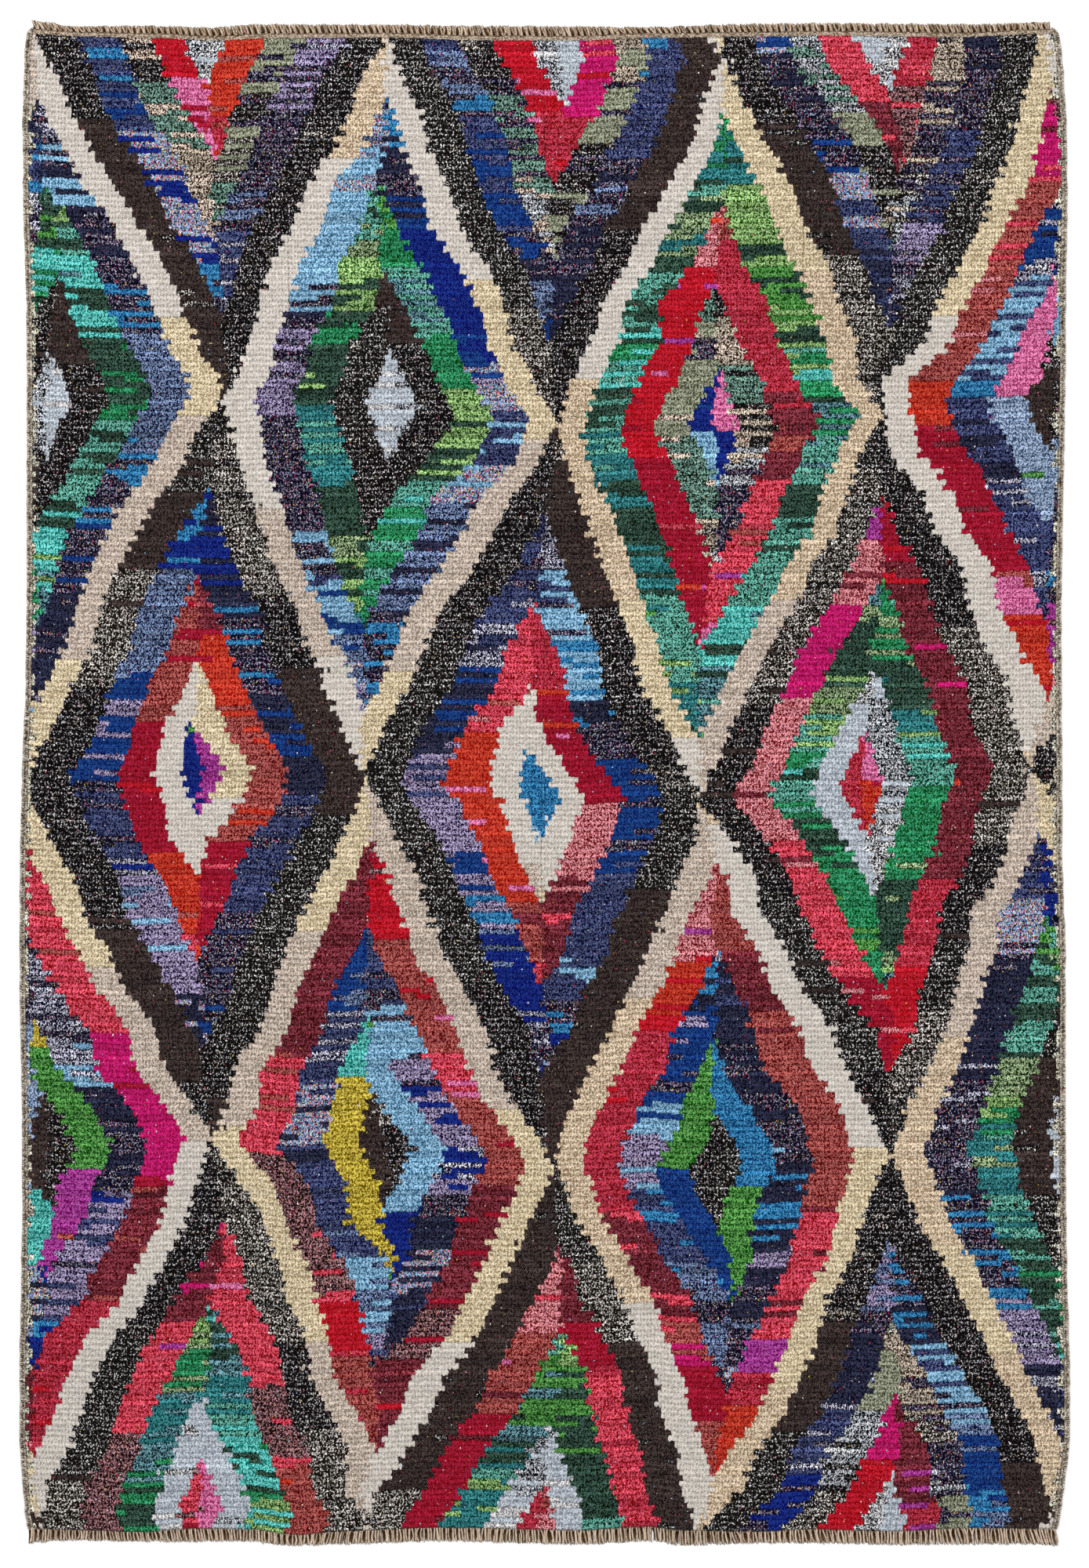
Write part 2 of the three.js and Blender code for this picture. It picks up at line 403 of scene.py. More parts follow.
    def runs(self, family: Family, rng: np.random.Generator) -> np.ndarray:
        """Picks a band's wool for every row, changing it when each length of wool runs out.

        Args:
            family: The band's wools.
            rng: The chart's random numbers.

        Returns:
            The wool's number for each row.
        """
        chosen = np.zeros(self.rows, int)
        row = -int(rng.integers(0, family.most_rows))
        last = None
        while row < self.rows:
            wool = family.wools[int(rng.integers(len(family.wools)))]
            if wool is last and family.wools.count(wool) == 1:
                continue
            run = int(rng.integers(family.least_rows, family.most_rows + 1))
            chosen[max(row, 0) : max(row + run, 0)] = WOOLS.index(wool)
            row += run
            last = wool
        return chosen

    def strays(self, rng: np.random.Generator) -> None:
        """Ties a few single knots from the next knot's wool, and undyed ones along the sides.

        Args:
            rng: The chart's random numbers.
        """
        slips = rng.random(self.wool.shape) < self.slips
        step = np.where(rng.random(self.wool.shape) < 0.5, 2, -2)
        column = np.clip(np.arange(self.columns)[None, :] + step, 0, self.columns - 1)
        self.wool[slips] = np.take_along_axis(self.wool, column, 1)[slips]
        for rim, inner in ((0, 1), (-1, -2)):
            pale = rng.random(self.rows)
            self.wool[pale < self.pale_rim, rim] = WOOLS.index(Wool.OATMEAL)
            self.wool[pale < 0.2 * self.pale_rim, inner] = WOOLS.index(Wool.OATMEAL)

    def colours(self) -> tuple[np.ndarray, np.ndarray]:
        """Works out each knot's two shades, as screen colours from 0 to 1.

        Returns:
            Dark ends with a fourth number for how rare the light ones are, and light ends with
            the share of odd tufts as a fourth number.
        """
        rng = np.random.default_rng(self.seed + 1)
        yarns = [wool.value for wool in WOOLS]
        bands = np.array([yarn.bands for yarn in yarns])[self.wool]
        shade = 1 + (self.wander(rng, 1, 30, 1.0) + rng.normal(0, 0.3, self.wool.shape)) * bands
        shade = np.clip(shade, 0.7, 1.3)[..., None]
        fourths = {-1: [yarn.rare for yarn in yarns], 1: [yarn.odd for yarn in yarns]}
        both = []
        for way, fourth in fourths.items():
            end = np.array([yarn.end(way) for yarn in yarns])[self.wool]
            fourth = np.array(fourth)[self.wool][..., None]
            both.append(np.concatenate([np.clip(end * shade, 0, 1), fourth], 2))
        return both[0], both[1]


@dataclass
class Outline:
    """The rug's uneven edges in plan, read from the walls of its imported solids.

    Attributes:
        nodes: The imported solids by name.
        half_width: Half the rug's width.
        corner_pull: How far the corners are drawn in.
        corner_start: How far before the pile's end they start to be.
        corner_run: The length over which that grows.
        corner_width: How far in from the rug's side it fades out.
        near: The near edge of the knotted cloth, as points in plan.
        far: Its far edge.
        left: Its left edge.
        right: Its right edge.
        low: Its lowest corner.
        high: Its highest corner.
    """

    nodes: dict[str, bpy.types.Object]
    half_width: float = 1.0
    corner_pull: float = 11 * MM
    corner_start: float = 34 * MM
    corner_run: float = 49.3 * MM
    corner_width: float = 116 * MM
    near: np.ndarray = field(init=False)
    far: np.ndarray = field(init=False)
    left: np.ndarray = field(init=False)
    right: np.ndarray = field(init=False)
    low: Vector = field(init=False)
    high: Vector = field(init=False)

    def __post_init__(self) -> None:
        """Reads the four edges and the corners of the knotted cloth."""
        self.near = self.wall("pile_cloth", (0, -1))
        self.far = self.wall("pile_cloth", (0, 1))
        self.left = self.wall("pile_cloth", (-1, 0))
        self.right = self.wall("pile_cloth", (1, 0))
        self.low, self.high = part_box("pile_cloth")

    def wall(self, node: str, direction: tuple[float, float]) -> np.ndarray:
        """Finds the foot of the walls of a solid that face one way.

        Args:
            node: The solid's name.
            direction: The way that the walls face, in plan.

        Returns:
            Its points in plan, ordered across that direction.
        """
        mesh = self.nodes[node].data
        steepest, least_facing = 0.1, 0.7
        spots = set()
        for face in mesh.polygons:
            facing = Vector(direction).dot(face.normal.xy)
            if abs(face.normal.z) > steepest or facing < least_facing:
                continue
            for index in face.vertices:
                place = mesh.vertices[index].co
                if place.z < FLOOR_LEVEL:
                    spots.add((round(place.x, 6), round(place.y, 6)))
        order = 0 if direction[0] == 0 else 1
        return np.array(sorted(spots, key=lambda spot: spot[order]))

    def plan(self, across: np.ndarray, along: np.ndarray) -> tuple[np.ndarray, np.ndarray]:
        """Places shares of the cloth's width and length in plan.

        Args:
            across: Shares from 0 at the left to 1 at the right.
            along: Shares from 0 at the near end to 1 at the far end.

        Returns:
            The places along X and along Y.
        """
        level = self.left[:, 0].mean() + across * (self.right[:, 0].mean() - self.left[:, 0].mean())
        near = np.interp(level, self.near[:, 0], self.near[:, 1])
        far = np.interp(level, self.far[:, 0], self.far[:, 1])
        y = near + along * (far - near)
        left = np.interp(y, self.left[:, 1], self.left[:, 0])
        right = np.interp(y, self.right[:, 1], self.right[:, 0])
        return self.tuck(left + across * (right - left), y), y

    def tuck(self, x: np.ndarray, y: np.ndarray) -> np.ndarray:
        """Draws places near the rug's four corners in a little, because its corners are round.

        Args:
            x: Places across the rug.
            y: Places along it.

        Returns:
            The new places across it.
        """
        beyond = np.maximum(y - self.end(1, x), self.end(-1, x) - y)
        near_end = np.clip((beyond + self.corner_start) / self.corner_run, 0, 1) ** 2
        near_side = np.clip(1 - (self.half_width - np.abs(x)) / self.corner_width, 0, 1)
        return x - np.sign(x) * self.corner_pull * near_end * near_side

    def end(self, end: int, x: np.ndarray) -> np.ndarray:
        """The edge of the pile at the near (-1) or far (1) end, for places across the rug."""
        line = self.near if end < 0 else self.far
        return np.interp(x, line[:, 0], line[:, 1])

    def side(self, side: int, y: np.ndarray) -> np.ndarray:
        """The edge of the pile at the left (-1) or right (1) side, for places along the rug."""
        line = self.left if side < 0 else self.right
        return np.interp(y, line[:, 1], line[:, 0])


def places_of(mesh: bpy.types.Mesh) -> np.ndarray:
    """A mesh's vertex places, one row each.

    Args:
        mesh: The mesh.

    Returns:
        The places along X, Y and Z.
    """
    flat = np.empty(len(mesh.vertices) * 3, np.float32)
    mesh.vertices.foreach_get("co", flat)
    return flat.reshape(-1, 3)


def middles_of(mesh: bpy.types.Mesh) -> np.ndarray:
    """The middles of a mesh's faces, one row each.

    Args:
        mesh: The mesh.

    Returns:
        The middles along X, Y and Z.
    """
    flat = np.empty(len(mesh.polygons) * 3, np.float32)
    mesh.polygons.foreach_get("center", flat)
    return flat.reshape(-1, 3)


def move_to(mesh: bpy.types.Mesh, x: np.ndarray, y: np.ndarray, z: np.ndarray) -> None:
    """Moves a mesh's vertices to these places."""
    mesh.vertices.foreach_set("co", np.stack([x, y, z], 1).astype(np.float32).ravel())


def face_outwards(mesh: bpy.types.Mesh) -> None:
    """Turns the faces of a closed mesh outwards.

    Args:
        mesh: The mesh.
    """
    form = bmesh.new()
    form.from_mesh(mesh)
    bmesh.ops.recalc_face_normals(form, faces=form.faces)
    form.to_mesh(mesh)
    form.free()


def step_of(shares: np.ndarray, count: int) -> np.ndarray:
    """Which of a number of equal steps each share from 0 to 1 lies in."""
    return np.clip((shares * count).astype(int), 0, count - 1)


def object_of(name: str, mesh: bpy.types.Mesh) -> bpy.types.Object:
    """Puts a finished mesh into the scene under a piece's name.

    Args:
        name: The piece's name.
        mesh: Its mesh.

    Returns:
        The piece.
    """
    piece = bpy.data.objects.new(name, mesh)
    bpy.context.scene.collection.objects.link(piece)
    return piece


def mesh_of(name: str, form: bmesh.types.BMesh) -> bpy.types.Mesh:
    """Turns a bmesh into a mesh of this name and frees it.

    Args:
        name: The mesh's name.
        form: The bmesh.

    Returns:
        The mesh.
    """
    mesh = bpy.data.meshes.new(name)
    form.to_mesh(mesh)
    form.free()
    return mesh


def slab(name: str, across: int, along: int, upside_down: bool = False) -> bpy.types.Mesh:
    """Makes a closed slab with one finely divided face, one unit across, along and deep.

    Args:
        name: The mesh's name.
        across: Quads across the divided face.
        along: Quads along it.
        upside_down: Whether the divided face is the lower one.

    Returns:
        The mesh, whose divided face is at height 0 and whose plain face is at height 1.
    """
    form = bmesh.new()
    bmesh.ops.create_grid(form, x_segments=across, y_segments=along, size=0.5)
    bmesh.ops.translate(form, vec=(0.5, 0.5, 0), verts=form.verts)
    rim = [edge for edge in form.edges if edge.is_boundary]
    walls = bmesh.ops.extrude_edge_only(form, edges=rim)["geom"]
    bmesh.ops.translate(form, vec=(0, 0, 1), verts=[v for v in walls if isinstance(v, bmesh.types.BMVert)])
    bmesh.ops.holes_fill(form, edges=[edge for edge in form.edges if edge.is_boundary])
    bmesh.ops.recalc_face_normals(form, faces=form.faces)
    if not upside_down:
        bmesh.ops.reverse_faces(form, faces=form.faces)
    return mesh_of(name, form)


def mark(mesh: bpy.types.Mesh, values: np.ndarray, name: str = "painted_shade_and_tone") -> None:
    """Stores one number for each vertex of a mesh, by default its painted shade and tone."""
    layer = mesh.attributes.new(name, "FLOAT", "POINT")
    layer.data.foreach_set("value", values.astype(np.float32))


def paint(mesh: bpy.types.Mesh, name: str, values: np.ndarray) -> None:
    """Stores one colour for each face of a mesh."""
    layer = mesh.attributes.new(name, "FLOAT_COLOR", "FACE")
    layer.data.foreach_set("color", values.astype(np.float32).ravel())


@cache
def rolled(around: int, along: int) -> tuple[np.ndarray, np.ndarray, list[list[int]]]:
    """Rolls a grid up into a closed tube that is yet to be placed.

    Args:
        around: Quads around the tube.
        along: Quads along it.

    Returns:
        The shares around and along of its vertices, and its faces.
    """
    form = bmesh.new()
    made = bmesh.ops.create_grid(form, x_segments=around, y_segments=along, size=0.5)["verts"]
    for vertex in made:
        turn = TURN * (vertex.co.x + 0.5)
        vertex.co = (math.cos(turn), math.sin(turn), vertex.co.y + 0.5)
    bmesh.ops.remove_doubles(form, verts=made, dist=1e-5)
    bmesh.ops.holes_fill(form, edges=[edge for edge in form.edges if edge.is_boundary])
    form.verts.index_update()
    spots = np.array([vertex.co for vertex in form.verts])
    faces = [[vertex.index for vertex in face.verts] for face in form.faces]
    form.free()
    turns = np.arctan2(spots[:, 1], spots[:, 0]) / TURN % 1.0
    nearly_round = 1 - 1e-4
    return np.where(turns > nearly_round, 0.0, turns), spots[:, 2], faces


@dataclass
class Tubes:
    """Closed tubes that are gathered into one mesh.

    Attributes:
        name: The mesh's name.
        spots: The vertices' places, their painted shade and tone, and how many plies lie before them.
        faces: The faces, as the numbers of their vertices.
        count: How many vertices there are so far.
    """

    name: str
    spots: list[np.ndarray] = field(default_factory=list)
    faces: list[list[int]] = field(default_factory=list)
    count: int = 0

    def add(self, around: int, along: int, place: Placing) -> None:
        """Adds one tube.

        Args:
            around: Quads around it.
            along: Quads along it.
            place: Gives its vertices' rows of five numbers from their shares around and along.
        """
        turns, shares, faces = rolled(around, along)
        self.spots.append(place(turns, shares))
        self.faces += [[index + self.count for index in face] for face in faces]
        self.count += len(turns)

    def build(self, finish: bpy.types.Material) -> bpy.types.Object:
        """Turns the tubes into a piece.

        Args:
            finish: Its material.

        Returns:
            The piece.
        """
        spots = np.concatenate(self.spots)
        mesh = bpy.data.meshes.new(self.name)
        mesh.from_pydata(spots[:, :3].tolist(), [], self.faces)
        face_outwards(mesh)
        mesh.polygons.foreach_set("use_smooth", [len(face) == 4 for face in self.faces])
        mark(mesh, spots[:, 3])
        mark(mesh, spots[:, 4], "ply")
        mesh.materials.append(finish)
        return object_of(self.name, mesh)


@dataclass
class NodePen:
    """Writes a material's nodes.

    Attributes:
        material: The material.
    """

    material: bpy.types.Material

    @classmethod
    def start(cls, name: str) -> NodePen:
        """Starts an empty material of this name.

        Args:
            name: The material's name.

        Returns:
            The pen that writes it.
        """
        material = bpy.data.materials.new(name)
        material.use_nodes = True
        material.node_tree.nodes.clear()
        return cls(material)

    def add(self, kind: str, **settings: object) -> bpy.types.Node:
        """Adds a node.

        Args:
            kind: The node's type, without its ShaderNode prefix.
            settings: Its properties, and the values or links of its input sockets by name, with
                an underscore for each space.

        Returns:
            The node.
        """
        node = self.material.node_tree.nodes.new("ShaderNode" + kind)
        for key, value in settings.items():
            if hasattr(node, key):
                setattr(node, key, value)
                continue
            socket = self.socket(node, key)
            if isinstance(value, Socket):
                self.material.node_tree.links.new(value, socket)
            else:
                socket.default_value = value
        return node

    def socket(self, node: bpy.types.Node, key: str) -> Socket:
        """Finds an input socket by its name, or by its number after a letter n.

        Args:
            node: The node.
            key: The name or the number.

        Returns:
            The socket.
        """
        if key[0] == "n" and key[1:].isdigit():
            return node.inputs[int(key[1:])]
        return node.inputs[key.replace("_", " ")]

    def math(self, operation: str, first: Value, second: Value = 0.5, third: Value = 0.5) -> Socket:
        """Adds a Math node and returns what it gives."""
        return self.add("Math", operation=operation, n0=first, n1=second, n2=third).outputs[0]

    def ramp(self, value: Value, low: float, high: float, start: float = 0, end: float = 1) -> Socket:
        """Eases a value from one range to another and returns the result."""
        settings = {"interpolation_type": "SMOOTHSTEP", "Value": value, "From_Min": low, "From_Max": high}
        return self.add("MapRange", **settings, To_Min=start, To_Max=end).outputs[0]

    def blend(self, factor: Value, first: Value, second: Value, kind: str = "MIX") -> Socket:
        """Mixes two colours and returns the result."""
        settings = {"data_type": "RGBA", "blend_type": kind, "clamp_factor": True}
        return self.add("Mix", **settings, n0=factor, n6=first, n7=second).outputs[2]

    def place(self, scale: Size) -> Socket:
        """The piece's own coordinates, stretched by a scale."""
        own = self.add("TexCoord").outputs["Object"]
        return self.add("Mapping", Vector=own, Scale=scale).outputs[0]

    def tufts(self, size: Size) -> list[Socket]:
        """Divides a surface into small crooked cells, such as the cut ends of a pile.

        Args:
            size: A cell's size along each way.

        Returns:
            Three random numbers from 0 to 1 that are the same all over a cell.
        """
        place = self.place(tuple(1 / x for x in size))
        bend = self.add("TexNoise", Vector=place, Scale=0.4, Detail=1.0).outputs["Color"]
        crooked = (1.4, 1.4, 1.4)
        bent = self.add("VectorMath", operation="MULTIPLY_ADD", n0=bend, n1=crooked, n2=place)
        cells = self.add("TexVoronoi", Vector=bent.outputs[0], Scale=1.0, Randomness=1.0)
        return list(self.add("SeparateColor", Color=cells.outputs["Color"]).outputs)[:3]

    def fibres(self) -> Socket:
        """Adds fine fibres.

        Returns:
            How light they are, from 0 to 1.
        """
        fibres_to_a_metre = (900, 620, 900)
        settings = {"Vector": self.place(fibres_to_a_metre), "Detail": 2.0, "Roughness": 0.6}
        return self.add("TexNoise", **settings, Scale=1.0).outputs["Fac"]

    def odd(self, lot: Value, share: Value, other: Value, colour: Value) -> Socket:
        """Puts a few oddly coloured tufts among the others.

        Args:
            lot: A random number that says which tufts are odd.
            share: The share of tufts that are.
            other: A random number that says which odd colour they have.
            colour: The colour of the others.

        Returns:
            The colour with the odd ones in it.
        """
        ramp = self.add("ValToRGB", Fac=other)
        ramp.color_ramp.interpolation = "CONSTANT"
        stops = ramp.color_ramp.elements
        for number, odd in enumerate(ODD_COLOURS):
            stop = stops[number] if number < 2 else stops.new(number / len(ODD_COLOURS))
            stop.position = number / len(ODD_COLOURS)
            stop.color = opaque(np.array(odd) / 255)
        return self.blend(self.math("LESS_THAN", lot, share), colour, ramp.outputs["Color"])

    def finish(
        self, screen: Value, height: Value, fibres: Value, sheen: float, sheen_tint: Colour
    ) -> bpy.types.Material:
        """Ends the material in a woollen surface.

        Args:
            screen: The screen colour.
            height: The relief, from 0 to 1.
            fibres: Fine fibres, which roughen it.
            sheen: How strongly loose fibres catch the light.
            sheen_tint: The colour of those fibres.

        Returns:
            The material.
        """
        bump = self.add("Bump", Height=height, Strength=0.5, Distance=1.0 * MM)
        shader = self.add(
            "BsdfPrincipled",
            Base_Color=self.add("Gamma", Color=screen, Gamma=SCREEN_GAMMA).outputs[0],
            Roughness=self.ramp(fibres, 0.2, 0.8, 0.84, 0.98),
            Normal=bump.outputs[0],
            Sheen_Weight=sheen,
            Sheen_Roughness=0.5,
            Sheen_Tint=linear(sheen_tint),
            Specular_IOR_Level=0.05,
        )
        self.add("OutputMaterial", Surface=shader.outputs[0])
        return self.material


@dataclass(frozen=True)
class PileFinish:
    """Cut knots of wool, read from each knot's own shades, with painted shade in the hollows between knots.

    Attributes:
        grain: The size of one tuft end.
        levels: The levels between which the wool goes over from its dark tufts to its light ones.
        dip: How much rarer light tufts are in the hollows between knots, as painted shade.
        lift: How much commoner they are everywhere, to make up for that.
        shadow: How much darker the wool is painted in the hollows, as painted shade.
        hair: How much single fibres differ from their tuft.
        sheen: How strongly the cut ends catch the light.
        sheen_tint: The colour that they catch it in.
    """

    grain: Size = (1.5 * MM, 2.0 * MM, 40 * MM)
    levels: tuple[float, float] = (0.36, 0.64)
    dip: float = 0.4
    lift: float = 0.04
    shadow: float = 0.3
    hair: float = 0.3
    sheen: float = 0.06
    sheen_tint: Colour = (255, 250, 245)

    def material(self) -> bpy.types.Material:
        """Writes the material's nodes.

        Returns:
            The material.
        """
        pen = NodePen.start("knotted_pile")
        deep = pen.add("Attribute", attribute_name="deep").outputs
        bright = pen.add("Attribute", attribute_name="bright").outputs
        painted_shade_and_tone = pen.add("Attribute", attribute_name="painted_shade_and_tone").outputs["Fac"]
        lots = pen.tufts(self.grain)
        fibres = pen.fibres()
        # Painted shade: the seams between knots make light tufts rarer and darken the wool, most where seams
        # meet.
        corners = pen.math("MULTIPLY", painted_shade_and_tone, painted_shade_and_tone)
        level = pen.math("MULTIPLY_ADD", corners, -self.dip, pen.math("ADD", lots[0], self.lift))
        level = pen.math("MULTIPLY_ADD", pen.math("SUBTRACT", fibres, 0.5), self.hair, level)
        light = pen.ramp(pen.math("SUBTRACT", level, deep["Alpha"]), *self.levels)
        screen = pen.blend(light, deep["Color"], bright["Color"])
        screen = pen.odd(lots[1], bright["Alpha"], lots[2], screen)
        # Painted shade: the colour is multiplied darker in the seams between knots.
        screen = pen.blend(1.0, screen, pen.math("MULTIPLY_ADD", corners, -self.shadow, 1.0), "MULTIPLY")
        height = pen.math("MULTIPLY_ADD", fibres, 0.5, pen.math("MULTIPLY", lots[0], 0.6))
        return pen.finish(screen, height, fibres, self.sheen, self.sheen_tint)


@dataclass(frozen=True)
class YarnFinish:
    """Undyed yarn, plied and slightly hairy.

    Attributes:
        name: The finish's name.
        yarn: The yarn.
        grain: The size of a patch of one shade.
        mottle: How much such patches differ.
        dip: How strongly the painted shade, painted light and tone on its vertices darken or lighten the
            yarn.
        groove: How much darker it is painted between two plies, as painted shade.
        hair: How much single fibres differ.
        sheen: How strongly loose fibres catch the light.
        sheen_tint: The colour that they catch it in.
    """

    name: str
    yarn: Yarn
    grain: Size
    mottle: float = 0.7
    dip: float = 0.7
    groove: float = 0.0
    hair: float = 0.6
    sheen: float = 0.1
    sheen_tint: Colour = (235, 225, 210)

    def material(self) -> bpy.types.Material:
        """Writes the material's nodes.

        Returns:
            The material.
        """
        pen = NodePen.start(self.name)
        painted_shade_and_tone = pen.add("Attribute", attribute_name="painted_shade_and_tone").outputs["Fac"]
        lots = pen.tufts(self.grain)
        fibres = pen.fibres()
        level = pen.math("MULTIPLY_ADD", lots[0], self.mottle, 0.5 - 0.5 * self.mottle)
        # Painted light and shade from the vertices, with their own tone.
        level = pen.math("MULTIPLY_ADD", painted_shade_and_tone, -self.dip, level)
        plies = pen.add("Attribute", attribute_name="ply").outputs["Fac"]
        wave = pen.math("COSINE", pen.math("MULTIPLY", plies, TURN))
        # Painted shade between the two plies.
        level = pen.math("MULTIPLY_ADD", wave, 0.5 * self.groove, level)
        level = pen.math("MULTIPLY_ADD", pen.math("SUBTRACT", fibres, 0.5), self.hair, level)
        deep, bright = (opaque(self.yarn.end(way)) for way in (-1, 1))
        screen = pen.blend(pen.math("SUBTRACT", level, self.yarn.rare), deep, bright)
        screen = pen.odd(lots[1], self.yarn.odd, lots[2], screen)
        height = pen.math("MULTIPLY_ADD", fibres, 0.5, pen.math("MULTIPLY", wave, 0.5))
        return pen.finish(screen, height, fibres, self.sheen, self.sheen_tint)


@dataclass(frozen=True)
class GroundFinish:
    """The rug's back: the same knots seen from behind, between rows of weft.

    Attributes:
        weft: The weft's colour.
        loops: How many loops there are to a metre, across and along.
        crooked: How far they lie out of line, from 0 to 1.
        seam: How far from a loop's middle the weft starts to show, and where only it does.
        sheen: How strongly loose fibres catch the light.
        sheen_tint: The colour that they catch it in.
    """

    weft: Colour = (118, 100, 80)
    loops: Size = (316, 192, 0)
    crooked: float = 0.35
    seam: tuple[float, float] = (0.30, 0.60)
    sheen: float = 0.05
    sheen_tint: Colour = (240, 235, 225)

    def material(self) -> bpy.types.Material:
        """Writes the material's nodes.

        Returns:
            The material.
        """
        pen = NodePen.start("woven_back")
        wool = pen.add("Attribute", attribute_name="back").outputs["Color"]
        place = pen.place(self.loops)
        settings = {"voronoi_dimensions": "2D", "Vector": place, "Randomness": self.crooked}
        loops = pen.add("TexVoronoi", **settings, Scale=1.0)
        seam = pen.ramp(loops.outputs["Distance"], *self.seam)
        fibres = pen.fibres()
        screen = pen.blend(seam, wool, opaque(np.array(self.weft) / 255))
        height = pen.math("SUBTRACT", fibres, seam)
        return pen.finish(screen, height, fibres, self.sheen, self.sheen_tint)


@dataclass
class Pile:
    """The knotted pile, made as strips side by side so that no mesh is too heavy.

    Attributes:
        outline: The rug's edges.
        chart: The wool of each knot.
        strips: How many strips it is made in.
        ground: The height that the pile stands on.
        crown: The height of the tufts.
        between_columns: How far the pile dips between two knots of a row.
        between_rows: How far it dips between two rows.
        unevenness: How much single tufts differ in height.
        most_uneven: How far below and above the others they are at most.
        wander: How far tufts lean out of line, and at most, across and then along.
        swell: The pile's low swells across the rug.
        ripple: Its lower ones along it.
        rim_drop: How much lower the outermost tufts are.
        teeth: How far the tufts of a side and of an end stand out at most.
        hollows: How much painted shade the pile gets between columns, between rows and where both meet as
            well.
        seed: Where its random choices start.
    """

    outline: Outline
    chart: PileChart
    strips: int = 4
    ground: float = 2.6 * MM
    crown: float = 11.9 * MM
    between_columns: float = 0.9 * MM
    between_rows: float = 1.7 * MM
    unevenness: float = 0.55 * MM
    most_uneven: tuple[float, float] = (-1.5 * MM, 1.2 * MM)
    wander: tuple[tuple[float, float], ...] = ((0.75 * MM, 1.6 * MM), (1.2 * MM, 2.4 * MM))
    swell: Wave = Wave(0.5 * MM, 0.171, 0.6)
    ripple: Wave = Wave(0.3 * MM, 0.097)
    rim_drop: float = 2.4 * MM
    teeth: tuple[float, float] = (2.4 * MM, 2.6 * MM)
    hollows: tuple[float, float, float] = (0.1, 0.38, 0.52)
    seed: int = 23

    def surface(self) -> Arrays:
        """Works out the pile's surface, two steps to a knot each way.

        Returns:
            The places along X, Y and Z, by column and row of the steps.
        """
        rng = np.random.default_rng(self.seed)
        columns, rows = 2 * self.chart.columns + 1, 2 * self.chart.rows + 1
        i, j = np.meshgrid(np.arange(columns), np.arange(rows), indexing="ij")
        inside = (i > 0) & (i < columns - 1) & (j > 0) & (j < rows - 1)
        plan = self.outline.plan(i / (columns - 1), j / (rows - 1))
        x, y = (
            places + inside * rng.normal(0, usual, places.shape).clip(-most, most)
            for places, (usual, most) in zip(plan, self.wander)
        )
        row_depth = self.between_rows * rng.uniform(0.5, 1.5, rows)[None, :]
        swell = self.swell.at(x) * np.cos(y / 0.233) + self.ripple.at(y)
        dip = (i % 2 == 0) * self.between_columns + (j % 2 == 0) * row_depth
        z = self.crown + swell - dip + rng.normal(0, self.unevenness, x.shape).clip(*self.most_uneven)
        from_edge = np.minimum.reduce([i, columns - 1 - i, 2 * j, 2 * (rows - 1 - j)])
        z = z - self.rim_drop * np.clip(1 - from_edge / 3, 0, 1) ** 1.5
        for lines, most in zip((x, y.T), self.teeth):
            count = lines.shape[1]
            tooth = rng.uniform(0, most, count) * (np.arange(count) % 2)
            lines[0] -= tooth
            lines[-1] += tooth[::-1]
        return x, y, z

    def build(self) -> list[bpy.types.Object]:
        """Makes the strips.

        Returns:
            The strips, from left to right.
        """
        surface = self.surface()
        colours = self.chart.colours()
        material = PileFinish().material()
        return [self.strip(number, surface, colours, material) for number in range(self.strips)]

    def strip(
        self, number: int, surface: Arrays, colours: tuple[np.ndarray, ...], finish: bpy.types.Material
    ) -> bpy.types.Object:
        """Makes one strip of the pile.

        Args:
            number: Which strip it is, from the left.
            surface: The whole pile's surface.
            colours: The whole pile's colours.
            finish: The pile's material.

        Returns:
            The strip.
        """
        knots = self.chart.columns // self.strips
        across, along = 2 * knots, 2 * self.chart.rows
        mesh = slab(f"pile_{number + 1}", across, along)
        shares = places_of(mesh)
        i = np.rint(shares[:, 0] * across).astype(int)
        j = np.rint(shares[:, 1] * along).astype(int)
        low = shares[:, 2] > 0.5
        x, y, z = (values[i + number * across, j] for values in surface)
        middles = middles_of(mesh)
        column = step_of(middles[:, 0], knots) + number * knots
        row = step_of(middles[:, 1], self.chart.rows)
        self.bake_map(mesh, shares, low)
        move_to(mesh, x, y, np.where(low, self.ground, z))
        mesh.polygons.foreach_set("use_smooth", middles[:, 2] < 0.01)
        for name, shades in zip(("deep", "bright"), colours):
            paint(mesh, name, shades[row, column])
        # Painted shade: vertices in the seams between knots are darkened, most where a row seam and a column
        # seam meet, and the foot and walls get full painted shade.
        seams = (i % 2 == 0, j % 2 == 0, (i % 2 == 0) & (j % 2 == 0))
        painted_shade_and_tone = sum(share * seam for share, seam in zip(self.hollows, seams))
        mark(mesh, np.where(low, 1.0, painted_shade_and_tone))
        mesh.materials.append(finish)
        mesh.update()
        return object_of(mesh.name, mesh)

    def bake_map(self, mesh: bpy.types.Mesh, shares: np.ndarray, low: np.ndarray) -> None:
        """Unrolls a strip: its face over the whole map, its walls and its foot along the rims.

        Args:
            mesh: The strip's mesh.
            shares: Its vertices' shares across and along.
            low: Which vertices are at its foot.
        """
        margin, rim, close = 0.02, 0.008, 1e-6
        layer = mesh.uv_layers.new(name="OFBake")
        corners = np.empty(len(mesh.loops), np.int32)
        mesh.loops.foreach_get("vertex_index", corners)
        flat = shares[:, :2]
        outward = np.rint(flat * 2 - 1) * ((flat < close) | (flat > 1 - close))
        uv = (margin + (1 - 2 * margin) * flat + rim * outward * low[:, None])[corners]
        foot = max(mesh.polygons, key=lambda face: face.loop_total)
        run = slice(foot.loop_start, foot.loop_start + foot.loop_total)
        uv[run, 1] = rim * shares[corners[run], 1]
        layer.uv.foreach_set("vector", uv.astype(np.float32).ravel())


